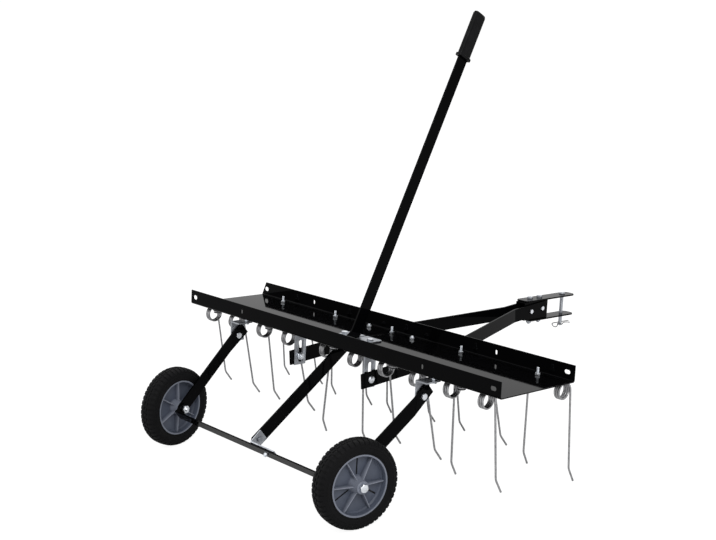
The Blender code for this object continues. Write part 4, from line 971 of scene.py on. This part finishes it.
def rubbed(co):
    """Painted highlight on the rim's plastic at a corner: its lip and the cone of the hub."""
    if hypot(co.x, co.y) < HUB_RADIUS + 0.002:
        return 0.45
    return 0.5 if abs(co.z) > RIM_HALF - 0.001 else 0.0


def in_slit(co):
    """One at the corners of a slit's floor, which gets painted shade."""
    return 1.0 if 0 < co.z < 0.002 and 0.017 < hypot(co.x, co.y) < 0.058 else 0.0


def make_rim(name):
    """Dished plastic rim: lipped wall, web with blind slits outside, ribs on both faces, hub."""
    wall, web = WALL_RADIUS, WEB_HALF
    outline = [(RIM_RADIUS, -RIM_HALF), (RIM_RADIUS, RIM_HALF), (wall, RIM_HALF),
               (wall - 0.0004, RIM_HALF - 0.0022), (wall - 0.0014, 0.006), (wall - 0.004, web),
               (WEB_FROM, web), (HUB_RADIUS + 0.001, 0.0065),
               (HUB_NOSE + 0.0004, HUB_OUT - 0.001), (HUB_NOSE - 0.0008, HUB_OUT),
               (HUB_BORE, HUB_OUT), (HUB_BORE, -HUB_IN), (HUB_RADIUS - 0.0015, -HUB_IN),
               (HUB_RADIUS - 0.0005, 0.001 - HUB_IN), (HUB_RADIUS + 0.001, -0.0065),
               (WEB_FROM, -web), (wall - 0.004, -web), (wall - 0.0014, -0.006),
               (wall - 0.0004, 0.0022 - RIM_HALF), (wall, -RIM_HALF)]
    rim = turned(outline, 96, closed=True)
    for i in range(3):
        slit = block((WEB_FROM, wall - 0.006), (-SLIT_HALF, SLIT_HALF), (SLIT_FLOOR, 0.01))
        with bench(slit, "EDGE"):
            pick("edges", lambda e: abs(e.verts[0].co.z - e.verts[1].co.z) > 0.005)
            bpy.ops.mesh.bevel(offset=0.0016, segments=4, affect="EDGES")
        slit.data.transform(Matrix.Rotation(WHEEL_TURN[name] + radians(30 + 120 * i), 4, "Z"))
        cut(rim, slit)
    # Painted shade on the slit floors and a painted highlight on the lip and hub.
    tell(rim, "hidden", in_slit)
    tell(rim, "rubbed", rubbed)
    for face, rise in RIB_RISE.items():
        ribs = ring_of(make_rib(face, rise, RIB_WALL), RIBS, WHEEL_TURN[name])
        rim = join([rim, *ribs])
    take(rim)
    bpy.ops.object.shade_smooth_by_angle(angle=radians(35))
    fit(rim, f"ribbed_rim_{name}", RIM, f"wheel_{name}", [f"rim_{name}"],
        wheel_place(name))


def make_wheel_bolt(name):
    """Shoulder bolt through hub, arm and ear, with the spacer and the nut inside."""
    radius = M10[0] / 2
    outer = HUB_OUT + GAP
    arm_face = -ARM_SEAT + ARM_SHEET / 2 + GAP
    inner = -ARM_SEAT - ARM_SHEET / 2 - AXLE_SHEET - 2 * GAP
    head = copy(HEADS[M10], Matrix.Translation((0, 0, outer)) @ Matrix.Rotation(0.25, 4, "Z"))
    shank = turned([(0, inner), (radius, inner), (radius, outer), (0, outer)], 20)
    spacer = washer(HUB_SPACER, radius, arm_face, -HUB_IN - GAP)
    nut = copy(NUTS[M10], Matrix.Translation((0, 0, inner)) @ FLIP)
    thread = threaded(radius, -inner, -inner + M10[3] + THREAD_END)
    thread.data.transform(FLIP)
    fit(fastened([head, shank, spacer, nut, thread]), f"axle_bolt_{name}", ZINC, "lift_frame",
        [f"wheel_bolt_{name}"], wheel_place(name))


def make_wheels():
    for name in ("left", "right"):
        make_tyre(name)
        make_rim(name)
        make_wheel_bolt(name)


# Drawbar

def bar_z(y):
    return BAR_REAR[1] + (y - BAR_REAR[0]) * tan(BAR_SLOPE)


def make_carrier(kind, name, side, y, flange, foot, stud):
    """Zinc angle that carries a bar: a flange under the tray and a leg beside the bar."""
    inner = BAR_X - BAR_SHEET / 2 - GAP
    angle = block((inner - flange, inner), (y - CARRIER_HALF, y + CARRIER_HALF), (foot, -GAP))
    with bench(angle, "FACE"):
        pick("faces", lambda f: abs(f.normal.y) > 0.9 or f.normal.x < -0.9 or f.normal.z < -0.9)
        bpy.ops.mesh.delete(type="FACE")
        bpy.ops.mesh.select_mode(type="EDGE")
        pick("edges", lambda e: middle(e).x > inner - 1e-4 and middle(e).z > -GAP - 1e-4)
        bpy.ops.mesh.bevel(offset=ANGLE_BEND, segments=5, affect="EDGES")
    apply(angle, "SOLIDIFY", thickness=BRACKET_SHEET, offset=-1, use_even_offset=True)
    if kind == "hanger":
        slot = block((inner - 0.02, inner + 0.01), HANGER_SLOT[:2], HANGER_SLOT[2:])
        with bench(slot, "EDGE"):
            pick("edges", lambda e: abs(e.verts[0].co.x - e.verts[1].co.x) > 0.02)
            bpy.ops.mesh.bevel(offset=0.0043, segments=6, affect="EDGES")
        cut(angle, slot)
    soften(angle, angle=50)
    angle.data.transform(Matrix.Diagonal((side, 1, 1, 1)))
    if side < 0:
        angle.data.flip_normals()
    top_bolt = set_bolt(M6, "Z", (side * stud[0], stud[1]), (-BRACKET_SHEET, TRAY_SHEET),
                        turn=0.4)
    fit(join([angle, top_bolt]), f"{kind}_angle_{name}", ZINC, "tray", [f"{kind}_{name}"])


def make_drawbar():
    """Bars, what carries them under the tray, the hitch, its pin and the clip."""
    inner, outer = BAR_X - BAR_SHEET / 2 - GAP, BAR_X + BAR_SHEET / 2
    pivot_z = bar_z(DRAW_PIVOT_Y)
    for name, side in (("left", -1), ("right", 1)):
        dressed(f"tow_bar_{name}", f"draw_bar_{name}", BLACK, "drawbar", BAR_EDGE)
        make_carrier("hanger", name, side, HANGER_Y, HANGER_ANGLE[0], HANGER_FOOT,
                     (HANGER_ANGLE[1], HANGER_Y))
        make_carrier("tow_pivot", name, side, DRAW_PIVOT_Y + 0.005, TOW_ANGLE[0],
                     pivot_z - CARRIER_HALF, (TOW_ANGLE[1], TINE_ROWS["front"][0]))
        seats = sorted((side * (inner - BRACKET_SHEET), side * outer))
        for node, body, y in (("hanger_bolt", "drawbar", HANGER_Y),
                              ("tow_pivot_bolt", "tray", DRAW_PIVOT_Y)):
            fit(set_bolt(M8, "X", (y, bar_z(y)), seats, flip=side > 0, turn=0.2,
                         round_head=ROUND_HEAD),
                f"{node}_m8_{name}", ZINC, body, [f"{node}_{name}"])
    make_hitch()


def make_hitch():
    """Box bracket, two tongues, their bolts, the pin and the spring clip."""
    for node, name in (("hitch_bracket", "hitch_box"), ("hitch_top_plate", "upper_tongue"),
                       ("hitch_bottom_plate", "lower_tongue")):
        dressed(node, name, BLACK, "drawbar", HITCH_EDGE)
    low, top = TUBE_FOOT - GAP - TONGUE_SHEET, TUBE_TOP + GAP + TONGUE_SHEET
    for name, y in zip(("rear", "front"), UPRIGHT_BOLTS):
        upright = dull(set_bolt(M8, "Z", (0, y), (low, top), flip=True, turn=0.3))
        fit(upright, f"tongue_bolt_{name}", ZINC, "drawbar", [f"hitch_upright_bolt_{name}"])
    face = BAR_MEET_X + BAR_SHEET / 2
    for name, y in zip(("rear", "front"), CROSS_BOLTS):
        fit(set_bolt(M6, "X", (y, bar_z(y)), (-face, face), flip=True, turn=0.3),
            f"box_bolt_{name}", ZINC, "drawbar", [f"hitch_cross_bolt_{name}"])
    make_pin(top + GAP)
    make_clip()


def make_pin(seat):
    """Hitch pin with a low head, which stands on a seat, and a hole for the clip."""
    crown = seat + 0.0040
    pin = turned([(0, PIN_FOOT), (PIN_RADIUS - 0.0012, PIN_FOOT), (PIN_RADIUS, PIN_FOOT + 0.0015),
                  (PIN_RADIUS, seat), (PIN_HEAD, seat), (PIN_HEAD, seat + 0.0028),
                  (PIN_HEAD - 0.0010, crown), (0, crown)], 32)
    cut(pin, rod("Y", (0, CLIP_Z), 0.0015, -0.02, 0.02, 16))
    soften(pin, 0.0003, 2, 35)
    fit(dull(pin), "tow_pin", ZINC, "pin", ["hitch_pin"],
        TRAY @ Matrix.Translation((0, PIN_Y, 0)))


def smooth_line(points):
    """Five points for each given one, on a smooth curve through them."""
    steps = 5
    points = [Vector(p) for p in points]
    ends = [2 * points[0] - points[1], *points, 2 * points[-1] - points[-2]]
    line = []
    for a, b, c, d in zip(ends, ends[1:], ends[2:], ends[3:]):
        for i in range(steps):
            t = i / steps
            line.append(0.5 * (2 * b + (c - a) * t + (2 * a - 5 * b + 4 * c - d) * t * t
                               + (3 * b - a - 3 * c + d) * t ** 3))
    return line + [points[-1]]


def make_clip():
    """Spring clip: a straight leg through the pin, a loop, and a leg bent round the pin."""
    thick, tilt, loop = CLIP_WIRE, CLIP_TILT, CLIP_LOOP
    back, front = CLIP_ENDS
    hug = (PIN_RADIUS + thick / 2 + GAP * 2) / cos(tilt)
    ring = [(-back + loop * cos(t), loop + loop * sin(t))
            for t in (-pi / 2 - i * pi / 12 for i in range(13))]
    spring = [(-back + 0.008, 1.75 * loop), (-hug * 1.4, thick * 1.6), (-hug * 0.7, hug * 0.75),
              (0, hug), (hug * 0.7, hug * 0.75), (hug * 1.4, thick * 1.6),
              (front - 0.012, thick * 1.8), (front, thick * 2.8)]
    flat = [Vector(p) for p in [(front, 0), *ring]] + smooth_line([ring[-1], *spring])[1:]
    points = [Vector((b * cos(tilt), PIN_Y + a, CLIP_Z - b * sin(tilt))) for a, b in flat]
    fit(wire(points, thick), "spring_clip", CLIP_STEEL, "pin", ["r_clip"])


make_tray()
make_guide()
make_tines()
make_arms()
make_lever()
make_wheels()
make_drawbar()
for master in (*HEADS.values(), *NUTS.values()):
    bpy.data.objects.remove(master)


# Floor, light and camera

def make_stage():
    """Pale floor that keeps a soft shadow, and white all round for the camera and in gloss."""
    bpy.ops.mesh.primitive_plane_add(size=120, location=(0, 0, 0))
    floor = bpy.context.object
    floor.name = "studio_floor"
    paint = bpy.data.materials.new("studio_floor")
    paint.use_nodes = True
    nodes, links = paint.node_tree.nodes, paint.node_tree.links
    shader = nodes["Principled BSDF"]
    shader.inputs["Base Color"].default_value = (FLOOR_WHITE, FLOOR_WHITE, FLOOR_WHITE, 1)
    shader.inputs["Roughness"].default_value = 0.9
    shader.inputs["Specular IOR Level"].default_value = 0.0
    glow = nodes.new("ShaderNodeEmission")
    glow.inputs["Strength"].default_value = FLOOR_GLOW
    seen = nodes.new("ShaderNodeLightPath")
    share = nodes.new("ShaderNodeMath")
    share.operation = "MULTIPLY"
    share.inputs[1].default_value = FLOOR_SEEN
    mix = nodes.new("ShaderNodeMixShader")
    links.new(seen.outputs["Is Camera Ray"], share.inputs[0])
    links.new(share.outputs[0], mix.inputs[0])
    links.new(shader.outputs[0], mix.inputs[1])
    links.new(glow.outputs[0], mix.inputs[2])
    links.new(mix.outputs[0], nodes["Material Output"].inputs["Surface"])
    floor.data.materials.append(paint)

    world = bpy.data.worlds.new("studio")
    bpy.context.scene.world = world
    world.use_nodes = True
    nodes, links = world.node_tree.nodes, world.node_tree.links
    sky = nodes["Background"]
    sky.inputs["Color"].default_value = (1, 1, 1, 1)
    seen = nodes.new("ShaderNodeLightPath")
    lit = nodes.new("ShaderNodeMath")
    lit.operation = "MAXIMUM"
    clear = nodes.new("ShaderNodeMath")
    clear.operation = "MAXIMUM"
    level = nodes.new("ShaderNodeMapRange")
    level.inputs["To Min"].default_value = SKY_LIGHT
    level.inputs["To Max"].default_value = 1.0
    links.new(seen.outputs["Is Camera Ray"], lit.inputs[0])
    links.new(seen.outputs["Is Glossy Ray"], lit.inputs[1])
    links.new(lit.outputs[0], clear.inputs[0])
    links.new(seen.outputs["Is Transmission Ray"], clear.inputs[1])
    links.new(clear.outputs[0], level.inputs["Value"])
    links.new(level.outputs[0], sky.inputs["Strength"])


def make_lamp(name, place, aim, size, power):
    bpy.ops.object.light_add(type="AREA", location=place)
    lamp = bpy.context.object
    lamp.name = name
    lamp.data.shape = "DISK"
    lamp.data.size = size
    lamp.data.energy = power
    lamp.rotation_euler = (Vector(aim) - Vector(place)).to_track_quat("-Z", "Y").to_euler()


def make_camera():
    """The photograph's view."""
    right, up = Vector(CAMERA_RIGHT), Vector(CAMERA_UP)
    back = right.cross(up).normalized()
    up = back.cross(right)
    turn = Matrix((right.normalized(), up, back)).transposed().to_4x4()
    bpy.ops.object.camera_add()
    camera = bpy.context.object
    camera.matrix_world = TRAY @ Matrix.Translation(CAMERA_PLACE) @ turn
    camera.data.lens = CAMERA_LENS
    camera.data.sensor_width = 36
    camera.data.clip_end = 400
    bpy.context.scene.camera = camera


make_stage()
make_lamp("key_lamp", (3.0, -1.8, 3.2), (0.2, 0, 0.2), 2.4, 80)
make_lamp("fill_lamp", (-3.0, -1.5, 2.4), (0, 0, 0.2), 2.6, 15)
make_lamp("rim_lamp", (-0.8, 3.2, 2.8), (0, 0, 0.2), 2.4, 40)
make_camera()
bpy.context.scene.view_settings.view_transform = "Standard"
